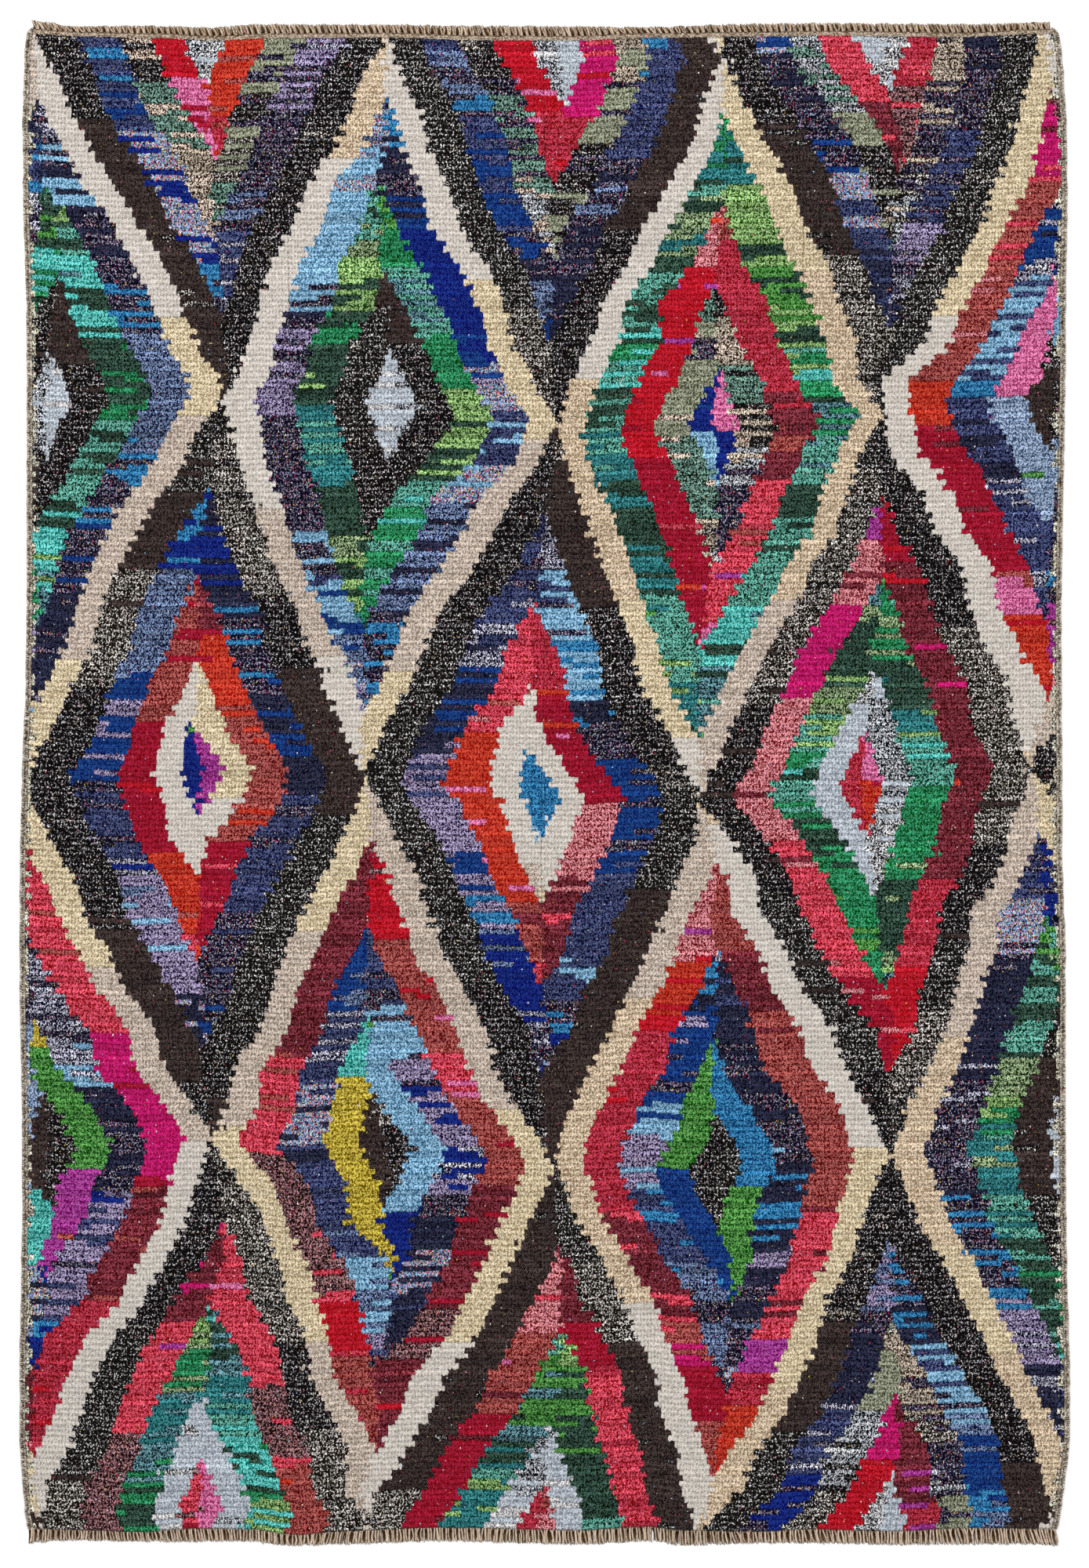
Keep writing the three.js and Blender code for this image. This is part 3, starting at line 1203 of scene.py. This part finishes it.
@dataclass
class Ground:
    """The woven ground that carries the knots, a sheet whose back shows under the pile.

    Attributes:
        outline: The rug's edges.
        chart: The wool of each knot.
        top: The height of its upper face.
        foot: The height of its lower one.
        ripple: How much that differs.
        knots_to_a_step: How many knots each of its quads carries each way.
        light: The share of light fibres that its back shows.
        seed: Where its random choices start.
    """

    outline: Outline
    chart: PileChart
    top: float = 2.6 * MM
    foot: float = 0.25 * MM
    ripple: float = 0.3 * MM
    knots_to_a_step: int = 3
    light: float = 0.45
    seed: int = 5

    def build(self) -> bpy.types.Object:
        """Makes the ground and gives its back the knots' colours.

        Returns:
            The ground.
        """
        columns, rows = self.chart.columns, self.chart.rows
        steps = self.knots_to_a_step
        mesh = slab("ground_cloth", columns // steps, rows // steps, upside_down=True)
        shares, middles = places_of(mesh), middles_of(mesh)
        x, y = self.outline.plan(shares[:, 0], shares[:, 1])
        lift = np.random.default_rng(self.seed).uniform(0, self.ripple, len(x))
        move_to(mesh, x, y, np.where(shares[:, 2] > 0.5, self.top, self.foot + lift))
        column, row = step_of(middles[:, 0], columns), step_of(middles[:, 1], rows)
        deep, bright = (shades[row, column] for shades in self.chart.colours())
        paint(mesh, "back", (1 - self.light) * deep + self.light * bright)
        mesh.materials.append(GroundFinish().material())
        mesh.update()
        return object_of(mesh.name, mesh)


@dataclass
class Edging:
    """One overcast side: wool wound over two edge cords, following the pile's uneven edge.

    Attributes:
        outline: The rug's edges.
        side: -1 for the left side and 1 for the right.
        width: The edging's width.
        height: Its height.
        wrap: The length of rug that one turn of wool covers.
        slant: How far a turn leans along the rug as it crosses.
        around: Quads around it.
        near_bend: The radius and the turn of its bend around the near corner.
        far_bend: The radius and the turn of its bend around the far corner.
        girths: The least and the most of its usual thickness that a turn has.
        shades: How much darker or lighter single turns are.
        sway: How far it sways.
        valley: How thick it is between two turns, as a share.
        groove: How narrow and how deep the groove between its two cords is.
        near_foot: Where its straight run starts, along the rug.
        run: How long that run is.
        length: Its whole length.
        wraps: How many turns of wool it has.
    """

    outline: Outline
    side: int
    width: float = 12.2 * MM
    height: float = 7.8 * MM
    wrap: float = 3.9 * MM
    slant: float = 1.8 * MM
    around: int = 10
    near_bend: tuple[float, float] = (30 * MM, 0.45)
    far_bend: tuple[float, float] = (14 * MM, 1.15)
    girths: tuple[float, float] = (0.86, 1.06)
    shades: float = 0.12
    sway: float = 0.5 * MM
    valley: float = 0.8
    groove: tuple[float, float] = (0.30, 0.26)
    near_foot: float = field(init=False)
    run: float = field(init=False)
    length: float = field(init=False)
    wraps: int = field(init=False)

    def __post_init__(self) -> None:
        """Measures the side that the edging follows."""
        line = self.outline.left if self.side < 0 else self.outline.right
        self.near_foot = line[0, 1] + self.near_bend[0] * math.sin(self.near_bend[1]) - 3 * MM
        self.run = line[-1, 1] - 5 * MM - self.near_foot
        self.length = self.run + math.prod(self.near_bend) + math.prod(self.far_bend)
        self.wraps = round(self.length / self.wrap)

    def path(self, along: np.ndarray) -> tuple[np.ndarray, np.ndarray, np.ndarray]:
        """Follows the edging's middle from the near corner to the far one.

        Args:
            along: Lengths from the start of the near bend.

        Returns:
            The places along X and along Y, and how far the edging has turned inwards there.
        """
        (near_radius, near_most), (far_radius, far_most) = self.near_bend, self.far_bend
        past = along - near_radius * near_most
        near_turn = near_most * np.clip(-past / (near_radius * near_most), 0, 1)
        far_turn = far_most * np.clip((past - self.run) / (far_radius * far_most), 0, 1)
        y = self.near_foot + np.clip(past, 0, self.run)
        x = self.outline.side(self.side, y) + self.side * (SIDE_REACH - 0.5 * self.width)
        x = self.outline.tuck(x, y)
        y = y - near_radius * np.sin(near_turn) + far_radius * np.sin(far_turn)
        inward = near_radius * (1 - np.cos(near_turn)) + far_radius * (1 - np.cos(far_turn))
        return x - self.side * inward, y, far_turn - near_turn

    def build(self, finish: bpy.types.Material) -> bpy.types.Object:
        """Makes the edging.

        Args:
            finish: The material of its wool.

        Returns:
            The edging.
        """
        wraps, steps = self.wraps, 2 * self.wraps
        rng = np.random.default_rng(41 + self.side)
        girth = rng.uniform(*self.girths, wraps + 1)
        shade = rng.normal(0, self.shades, wraps + 1)
        every = 8
        swayed = np.arange(0, steps + every + 1, every)
        sway = np.interp(np.arange(steps + 1), swayed, rng.normal(0, self.sway, len(swayed)))

        def place(turn: np.ndarray, along: np.ndarray) -> np.ndarray:
            """Places the edging's vertices.

            Args:
                turn: The shares around.
                along: The shares along.

            Returns:
                A row for each vertex: its place, its painted shade and tone, and the plies before it.
            """
            angle = TURN * (turn - 0.25)
            step = np.rint(along * steps).astype(int)
            crest, number = step % 2 == 1, np.minimum(step // 2, wraps)
            size = np.where(crest, 1.0, self.valley) * girth[number]
            size = size * (0.6 + 0.4 * np.clip(np.minimum(along, 1 - along) * wraps / 2, 0, 1))
            narrow, deep = self.groove
            rib = np.exp(-((np.cos(angle) / narrow) ** 2)) * (np.sin(angle) > 0)
            out = 0.5 * self.width * np.sign(np.cos(angle)) * np.abs(np.cos(angle)) ** 0.75
            up = 0.5 * self.height * np.sin(angle) * (1 - deep * rib)
            x, y, bent = self.path(along * self.length)
            aside = sway[step] + out * (0.45 + 0.55 * size)
            lean = self.slant * np.cos(angle)
            x = x + self.side * (aside * np.cos(bent) - lean * np.sin(bent))
            y = y + aside * np.sin(bent) + lean * np.cos(bent)
            level = np.maximum(0.5 * self.height + up * size, 0.1 * MM)
            # Painted shade in the groove between the two cords and on the underside, painted light on each
            # turn's crest, and a random darker or lighter tone for each turn.
            under = 0.3 * (np.sin(angle) < 0.1)
            painted_shade_and_tone = 0.5 * rib + under - 0.3 * crest - shade[number]
            return np.stack([x, y, level, painted_shade_and_tone, steps * along], 1)

        tubes = Tubes("edging_left" if self.side < 0 else "edging_right")
        tubes.add(self.around, steps, place)
        return tubes.build(finish)


@dataclass(frozen=True)
class Strand:
    """How one warp end lies: where it starts, where it ends and how it is spun.

    Attributes:
        root: Where it leaves the weave, in plan.
        tip: Where it ends.
        girth: Its thickness.
        root_height: The height of its middle at the root.
        tip_height: The height of its middle at the tip.
        shade: How much darker it is than the others.
        flare: How much it widens towards its tip.
        sunk: How much darker it is painted at its root, as painted shade.
        bow: How far it bows aside, as a share of its length.
        ply: The length over which one ply winds once around it.
    """

    root: tuple[float, float]
    tip: tuple[float, float]
    girth: float
    root_height: float
    tip_height: float
    shade: float
    flare: float = 1.0
    sunk: float = 0.0
    bow: float = 0.05
    ply: float = 3.4 * MM

    def add(self, tubes: Tubes, around: int, steps: int, rng: np.random.Generator) -> None:
        """Adds the strand to the others.

        Args:
            tubes: All strands.
            around: Quads around it.
            steps: Quads along it.
            rng: The fringe's random numbers.
        """
        length = math.dist(self.root, self.tip)
        bow = rng.normal(0, self.bow * length)
        start = rng.uniform(0, 1)

        def place(turn: np.ndarray, along: np.ndarray) -> np.ndarray:
            """Places the strand's vertices.

            Args:
                turn: The shares around.
                along: The shares along.

            Returns:
                A row for each vertex: its place, its painted shade and tone, and the plies before it.
            """
            angle = TURN * (turn - 0.25)
            taper = np.interp(along, (0, 0.6, 0.85, 1), (1, 1, self.flare, 0.35 * self.flare))
            radius = 0.5 * self.girth * taper * rng.uniform(0.92, 1.08, len(turn))
            fall = np.clip((along - 0.15) / 0.6, 0, 1)
            height = self.root_height + (self.tip_height - self.root_height) * fall * fall * (3 - 2 * fall)
            x = self.root[0] + (self.tip[0] - self.root[0]) * along**1.15 + bow * np.sin(math.pi * along)
            y = self.root[1] + (self.tip[1] - self.root[1]) * along
            level = np.maximum(height + 0.9 * radius * np.sin(angle), 0.05 * MM)
            # Painted light and shade: the strand's top is painted lighter and its underside darker, on top
            # of its own tone; it is lighter towards its tip and, as painted shade, darker at its root.
            painted_shade_and_tone = self.shade + 0.15 - 0.75 * np.sin(angle) - 0.25 * np.clip((along - 0.75) / 0.25, 0, 1)
            painted_shade_and_tone = painted_shade_and_tone + self.sunk * np.clip(1 - along / 0.5, 0, 1)
            plies = start + 2 * turn + along * length / self.ply
            return np.stack([x + radius * np.cos(angle), y, level, painted_shade_and_tone, plies], 1)

        tubes.add(around, steps, place)


@dataclass
class FringedEnd:
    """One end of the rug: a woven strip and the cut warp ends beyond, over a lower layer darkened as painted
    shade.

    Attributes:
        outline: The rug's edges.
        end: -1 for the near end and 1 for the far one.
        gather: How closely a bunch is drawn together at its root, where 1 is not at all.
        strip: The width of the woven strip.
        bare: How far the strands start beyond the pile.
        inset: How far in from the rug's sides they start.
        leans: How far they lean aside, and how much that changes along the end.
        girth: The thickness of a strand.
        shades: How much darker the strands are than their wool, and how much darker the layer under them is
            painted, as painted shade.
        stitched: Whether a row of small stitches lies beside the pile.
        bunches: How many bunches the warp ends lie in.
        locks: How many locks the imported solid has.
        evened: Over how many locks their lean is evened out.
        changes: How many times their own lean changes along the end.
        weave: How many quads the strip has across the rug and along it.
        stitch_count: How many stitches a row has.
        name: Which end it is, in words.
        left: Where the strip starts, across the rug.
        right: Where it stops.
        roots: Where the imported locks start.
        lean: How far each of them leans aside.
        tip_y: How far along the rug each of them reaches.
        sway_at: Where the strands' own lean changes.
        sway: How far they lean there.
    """

    outline: Outline
    end: int
    gather: float
    strip: float
    bare: float
    inset: float
    leans: tuple[float, float]
    girth: float
    shades: tuple[float, float]
    stitched: bool
    bunches: int = 168
    locks: int = 150
    evened: int = 7
    changes: int = 49
    weave: tuple[int, int] = (520, 5)
    stitch_count: int = 250
    name: str = field(init=False)
    left: float = field(init=False)
    right: float = field(init=False)
    roots: np.ndarray = field(init=False)
    lean: np.ndarray = field(init=False)
    tip_y: np.ndarray = field(init=False)
    sway_at: np.ndarray = field(init=False)
    sway: np.ndarray = field(init=False)

    def __post_init__(self) -> None:
        """Reads the strip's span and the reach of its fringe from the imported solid."""
        self.name = "near" if self.end < 0 else "far"
        tips = self.tips(self.outline.nodes[f"end_{self.name}"])
        self.left, self.right = (
            self.outline.side(side, self.end * END_REACH) + side * SIDE_REACH for side in (-1, 1)
        )
        pitch = (self.right - self.left) / self.locks
        self.roots = self.left + (np.arange(self.locks) + 0.5) * pitch
        self.lean = np.convolve(tips[:, 0] - self.roots, np.full(self.evened, 1 / self.evened), "same")
        self.tip_y = tips[:, 1]
        rng = np.random.default_rng(51 + self.end)
        self.sway_at = np.linspace(self.left, self.right, self.changes)
        self.sway = rng.normal(*self.leans, self.changes)

    def tips(self, node: bpy.types.Object) -> np.ndarray:
        """Finds the tip of each lock of a packed end.

        Args:
            node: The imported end.

        Returns:
            One place in plan for each lock, from left to right.
        """
        places = places_of(node.data)
        edge = self.outline.end(self.end, places[:, 0])
        beyond = self.end * (places[:, 1] - edge) > self.strip + 8 * MM
        feet = places[beyond & (places[:, 2] < FLOOR_LEVEL)][:, :2]
        spots = np.unique(np.round(feet, 5), axis=0)
        spots = spots[np.argsort(spots[:, 0])]
        return spots.reshape(self.locks, 2, 2).mean(1)

    def edge(self, x: float) -> float:
        """The edge of the pile at one place across the rug."""
        return float(self.outline.end(self.end, np.array(x)))

    def reach(self, x: float) -> float:
        """How far along the rug the fringe's tips reach at one place across it."""
        return float(np.interp(x, self.roots, self.tip_y))

    def build(self, warp: bpy.types.Material, weave: bpy.types.Material) -> list[bpy.types.Object]:
        """Makes the end's pieces.

        Args:
            warp: The finish of the warp ends.
            weave: The finish of the strip.

        Returns:
            The fringe and the strip, and the stitches if it has them.
        """
        made = [self.fringe(warp), self.woven_strip(weave)]
        if self.stitched:
            made.append(self.stitches(weave))
        return made

    def fringe(self, finish: bpy.types.Material) -> bpy.types.Object:
        """Makes the warp ends, two to a bunch, each a two-ply strand that frays at its tip.

        Args:
            finish: Their material.

        Returns:
            The fringe.
        """
        rng = np.random.default_rng(61 + self.end)
        tubes = Tubes(f"fringe_{self.name}")
        first, last = self.left + self.inset, self.right - self.inset
        pitch = (last - first) / self.bunches
        for number in range(self.bunches):
            middle = first + (number + 0.5) * pitch + rng.normal(0, 0.04 * pitch)
            for share in (-0.25, 0.25):
                strand = self.upper(middle, share * pitch, rng)
                strand.add(tubes, 8, 5, rng)
                for _ in range(2):
                    self.hair(strand, rng).add(tubes, 3, 2, rng)
            for share in (-0.5, -0.17, 0.17):
                self.lower(middle + share * pitch, rng).add(tubes, 5, 3, rng)
        return tubes.build(finish)

    def upper(self, middle: float, aside: float, rng: np.random.Generator) -> Strand:
        """Lays one strand of a bunch.

        Args:
            middle: The middle of the bunch, across the rug.
            aside: How far the strand's tip lies from it.
            rng: The fringe's random numbers.

        Returns:
            The strand.
        """
        x = middle + aside * self.gather
        pull = self.pull(x)
        tip_x = middle + aside * 1.05 + self.slant(middle) + rng.normal(0, 0.9 * MM)
        root = (x + pull, self.edge(x) + self.end * self.bare)
        tip = (tip_x + pull, self.reach(middle) - self.end * abs(rng.normal(0, 1.2 * MM)))
        thick = self.girth * rng.uniform(0.84, 1.12)
        height = 5.8 * MM - 0.3 * thick
        shade = rng.normal(self.shades[0], 0.14)
        return Strand(root, tip, thick, height, 2.9 * MM, shade, rng.uniform(1.0, 1.25))

    def hair(self, strand: Strand, rng: np.random.Generator) -> Strand:
        """Lays one of the fibres that fray from a strand's tip.

        Args:
            strand: The strand.
            rng: The fringe's random numbers.

        Returns:
            The fibre.
        """
        frayed_from = 0.8
        x, y = (a + frayed_from * (b - a) for a, b in zip(strand.root, strand.tip))
        aside, out = rng.normal(0, 1.5 * MM), rng.uniform(0.2 * MM, 1.8 * MM)
        tip = (strand.tip[0] + aside, strand.tip[1] + self.end * out)
        return Strand((x + 0.3 * aside, y), tip, 1.3 * MM, 3.2 * MM, 1.6 * MM, rng.normal(-0.1, 0.1))

    def lower(self, x: float, rng: np.random.Generator) -> Strand:
        """Lays one strand under the others, painted dark as painted shade, so that little floor shows
        between them.

        Args:
            x: Its place across the rug.
            rng: The fringe's random numbers.

        Returns:
            The strand.
        """
        pull = self.pull(x)
        start, reach = self.edge(x) + self.end * (self.strip - 1.5 * MM), self.reach(x)
        tip = (x + pull + 0.8 * self.slant(x), start + rng.uniform(0.88, 0.99) * (reach - start))
        # Painted shade: the lower strands take the second shade, and more at their roots.
        return Strand((x + pull, start), tip, 5.4 * MM, 1.6 * MM, 1.3 * MM, self.shades[1], sunk=0.6)

    def pull(self, x: float) -> float:
        """How far the corners draw a strand's root in at one place across the rug."""
        y = self.edge(x) + self.end * self.bare
        return float(self.outline.tuck(np.array(x), np.array(y))) - x

    def slant(self, x: float) -> float:
        """How far the strands lean aside between their roots and tips at one place.

        Args:
            x: The place across the rug.

        Returns:
            The distance across the rug from a root to its tip.
        """
        room = min(1.0, min(x - self.left, self.right - x) / (30 * MM))
        lean = float(np.interp(x, self.roots, self.lean))
        return lean + max(room, 0.0) * float(np.interp(x, self.sway_at, self.sway))

    def woven_strip(self, finish: bpy.types.Material) -> bpy.types.Object:
        """Makes the flat woven strip, lumpy with its close wefts.

        Args:
            finish: Its material.

        Returns:
            The strip.
        """
        mesh = slab(f"strip_{self.name}", *self.weave)
        shares = places_of(mesh)
        rng = np.random.default_rng(91 + self.end)
        out = 0.3 * MM + shares[:, 1] * (self.strip - 0.6 * MM)
        inset = 6 * MM + 0.7 * self.inset * shares[:, 1] ** 2
        x = self.left + inset + shares[:, 0] * (self.right - self.left - 2 * inset)
        y = self.outline.end(self.end, x) + self.end * out
        x = self.outline.tuck(x, y)
        lump = rng.normal(0, 0.55 * MM, len(x)).clip(-1.2 * MM, 1.2 * MM)
        crown = 5.6 * MM - 1.8 * MM * shares[:, 1] ** 3
        if not self.stitched:
            crown = crown - 2.0 * MM
        move_to(mesh, x, y, np.where(shares[:, 2] > 0.5, 0.2 * MM, crown + lump))
        face_outwards(mesh)
        # Painted light and shade: higher lumps are painted lighter and lower ones darker; as painted shade,
        # the stitched strip darkens towards its outer edge and the plain one all over.
        outer = np.clip((shares[:, 1] - 0.7) / 0.25, 0, 1) if self.stitched else 0.6 + 0 * x
        mark(mesh, np.clip(-0.1 - 0.2 * lump / MM + 0.9 * outer, -0.3, 1))
        mesh.materials.append(finish)
        return object_of(mesh.name, mesh)

    def stitches(self, finish: bpy.types.Material) -> bpy.types.Object:
        """Makes the row of small light stitches beside the pile.

        Args:
            finish: Their material.

        Returns:
            The row.
        """
        tubes = Tubes(f"stitches_{self.name}")
        rng = np.random.default_rng(81)
        first, last = self.left + 8 * MM, self.right - 8 * MM
        for number in range(self.stitch_count):
            x = first + (number + 0.5) * (last - first) / self.stitch_count
            y = self.edge(x) + self.end * (0.6 * MM + rng.normal(0, 0.7 * MM))
            half = 2.5 * MM * rng.uniform(0.7, 1.15)
            skew = rng.normal(0, 1.0 * MM)
            ends = ((x - half, y - skew), (x + half, y + skew))
            Strand(*ends, 3.3 * MM, 9.4 * MM, 9.4 * MM, -0.6).add(tubes, 5, 3, rng)
        return tubes.build(finish)


@dataclass(frozen=True)
class StrayThread:
    """A loose pale thread that lies on the pile in a hook.

    Attributes:
        bends: The places in plan that it passes through.
        girth: Its thickness.
        height: The height of its middle.
    """

    bends: tuple[tuple[float, float], ...] = ((0.150, 0.774), (0.144, 0.759), (0.146, 0.751), (0.153, 0.756))
    girth: float = 1.5 * MM
    height: float = 12.4 * MM

    def build(self) -> bpy.types.Object:
        """Makes the thread.

        Returns:
            The thread.
        """
        tubes = Tubes("stray_thread")
        bends = np.array(self.bends)

        def place(turn: np.ndarray, along: np.ndarray) -> np.ndarray:
            """Places the thread's vertices.

            Args:
                turn: The shares around.
                along: The shares along.

            Returns:
                A row for each vertex: its place, how much lighter its tone is, and the plies before it.
            """
            angle = TURN * turn
            at = along * (len(bends) - 1)
            middle = np.stack([np.interp(at, np.arange(len(bends)), column) for column in bends.T], 1)
            x = middle[:, 0] + 0.5 * self.girth * np.cos(angle)
            level = self.height + 0.5 * self.girth * np.sin(angle)
            return np.stack([x, middle[:, 1], level, -0.3 + 0 * x, 6 * along], 1)

        tubes.add(5, 12, place)
        finish = YarnFinish("stray_wool", Yarn((226, 220, 212), 24), (2 * MM, 2 * MM, 2 * MM))
        return tubes.build(finish.material())


@dataclass
class Studio:
    """A pale floor, soft light and a camera straight above the rug.

    Attributes:
        lens: The camera's focal length in millimetres.
        sensor: The width of its sensor in millimetres.
        frame_height: The length of floor that the picture's height takes in.
        middle: What the picture's middle looks at, on top of the pile.
        lamps: Each lamp's name, place, width and power.
        fill: How brightly the room fills the shadows.
    """

    lens: float = 110.0
    sensor: float = 36.0
    frame_height: float = 2.98
    middle: tuple[float, float, float] = (-0.0007, -0.003, 0.012)
    lamps: tuple[tuple[str, Size, float, float], ...] = (
        ("lamp_far", (-2.6, 4.4, 5.2), 3.0, 277),
        ("lamp_above", (1.8, -1.0, 6.5), 5.0, 252),
    )
    fill: float = 0.521

    def build(self) -> None:
        """Makes the camera first, then the floor and the lights."""
        self.camera()
        self.floor()
        self.lights()
        bpy.context.scene.view_settings.view_transform = "Standard"

    def camera(self) -> None:
        """Hangs the camera above the rug, with the far end at the top of the picture."""
        data = bpy.data.cameras.new("camera")
        data.lens = self.lens
        data.sensor_width = self.sensor
        data.clip_end = 100.0
        camera = bpy.data.objects.new("camera", data)
        bpy.context.scene.collection.objects.link(camera)
        x, y, top = self.middle
        camera.location = (x, y, self.frame_height * self.lens / self.sensor + top)
        bpy.context.scene.camera = camera

    def floor(self) -> None:
        """Lays a plain pale floor."""
        form = bmesh.new()
        bmesh.ops.create_grid(form, x_segments=2, y_segments=2, size=12.0)
        bmesh.ops.translate(form, vec=(0, 0, -0.1 * MM), verts=form.verts)
        mesh = mesh_of("floor", form)
        pen = NodePen.start("pale_floor")
        cloud = pen.add("TexNoise", Vector=pen.place((0.8, 0.8, 0.8)), Scale=1.0, Detail=2.0).outputs["Fac"]
        colour = pen.blend(cloud, linear((250, 250, 250)), linear((253, 253, 253)))
        shader = pen.add("BsdfPrincipled", Base_Color=colour, Roughness=0.9, Specular_IOR_Level=0.1)
        pen.add("OutputMaterial", Surface=shader.outputs[0])
        mesh.materials.append(pen.material)
        object_of("floor", mesh)

    def lights(self) -> None:
        """Hangs two large soft lamps and lets the room fill the shadows."""
        for name, place, size, power in self.lamps:
            data = bpy.data.lights.new(name, "AREA")
            data.size = size
            data.energy = power
            lamp = bpy.data.objects.new(name, data)
            lamp.location = place
            lamp.rotation_euler = (-Vector(place)).to_track_quat("-Z", "Y").to_euler()
            bpy.context.scene.collection.objects.link(lamp)
        world = bpy.data.worlds.new("room")
        world.use_nodes = True
        background = world.node_tree.nodes["Background"].inputs
        background["Color"].default_value = opaque(np.ones(3))
        background["Strength"].default_value = self.fill
        bpy.context.scene.world = world


@dataclass
class Rug:
    """The whole rug: ground, pile, sides and ends.

    Attributes:
        outline: Its edges.
        knots: How many knots it has across and along.
        speckle: The size of a patch of one shade in wound or woven wool.
        streak: The size of one in the warp ends.
    """

    outline: Outline
    knots: tuple[int, int] = (312, 273)
    speckle: Size = (2.2 * MM, 1.8 * MM, 2.2 * MM)
    streak: Size = (1.2 * MM, 6.0 * MM, 1.2 * MM)

    def build(self) -> None:
        """Builds every piece and hangs it on the rug's body, hiding the solid that it stands for."""
        low, high = self.outline.low, self.outline.high
        flat = (high.x - low.x, high.y - low.y)
        chart = PileChart(*self.knots, *flat)
        ground = Ground(self.outline, chart).build()
        pile = Pile(self.outline, chart).build()
        wrap = YarnFinish("overcast_wool", Yarn((152, 139, 124), 104), self.speckle, 0.8, groove=0.3)
        wrap = wrap.material()
        sides = [Edging(self.outline, side).build(wrap) for side in (-1, 1)]
        ends = self.ends()
        thread = StrayThread().build()
        self.place([ground, *pile, thread], "pile_wool", "pile_cloth")
        for side, node in zip(sides, ("edge_left", "edge_right")):
            self.place([side], "edging_wool", node)
        for node, pieces in ends.items():
            self.place(pieces, "warp_wool", node)
        trim = [*pile, thread, *sides, *ends["end_near"], *ends["end_far"]]

    def ends(self) -> dict[str, list[bpy.types.Object]]:
        """Makes both ends of the rug.

        Returns:
            The pieces that stand for each packed end.
        """
        warp = YarnFinish("warp_wool", Yarn((142, 120, 98), 94), self.streak, 0.4, groove=0.3).material()
        weave = YarnFinish("woven_wool", Yarn((148, 130, 111), 84), self.speckle, 0.8).material()
        near = FringedEnd(
            self.outline,
            end=-1,
            gather=0.75,
            strip=6 * MM,
            bare=0.6 * MM,
            inset=4 * MM,
            leans=(1.5 * MM, 2.2 * MM),
            girth=3.9 * MM,
            # The second shade is painted shade on the layer under the strands.
            shades=(0.06, 0.85),
            stitched=False,
        )
        far = FringedEnd(
            self.outline,
            end=1,
            gather=0.45,
            strip=11 * MM,
            bare=9.0 * MM,
            inset=13 * MM,
            leans=(-7.0 * MM, 1.4 * MM),
            girth=4.7 * MM,
            # The second shade is painted shade on the layer under the strands.
            shades=(0.26, 0.85),
            stitched=True,
        )
        return {"end_near": near.build(warp, weave), "end_far": far.build(warp, weave)}

    def place(self, pieces: list[bpy.types.Object], slot: str, node: str) -> None:
        """Hangs pieces on the rug's body in place of one solid.

        Args:
            pieces: The pieces.
            slot: Not used.
            node: The solid that they stand for.
        """
        for piece in pieces:
            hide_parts(node)
            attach(piece, BODY)
            LOG.info("%s: %d vertices", piece.name, len(piece.data.vertices))


def main() -> None:
    """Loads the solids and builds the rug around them."""
    logging.basicConfig(level=logging.INFO, format="%(message)s")
    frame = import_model()
    Studio().build()
    Rug(Outline(frame["nodes"])).build()
    bpy.context.view_layer.update()
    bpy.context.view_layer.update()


if __name__ == "__main__":
    main()
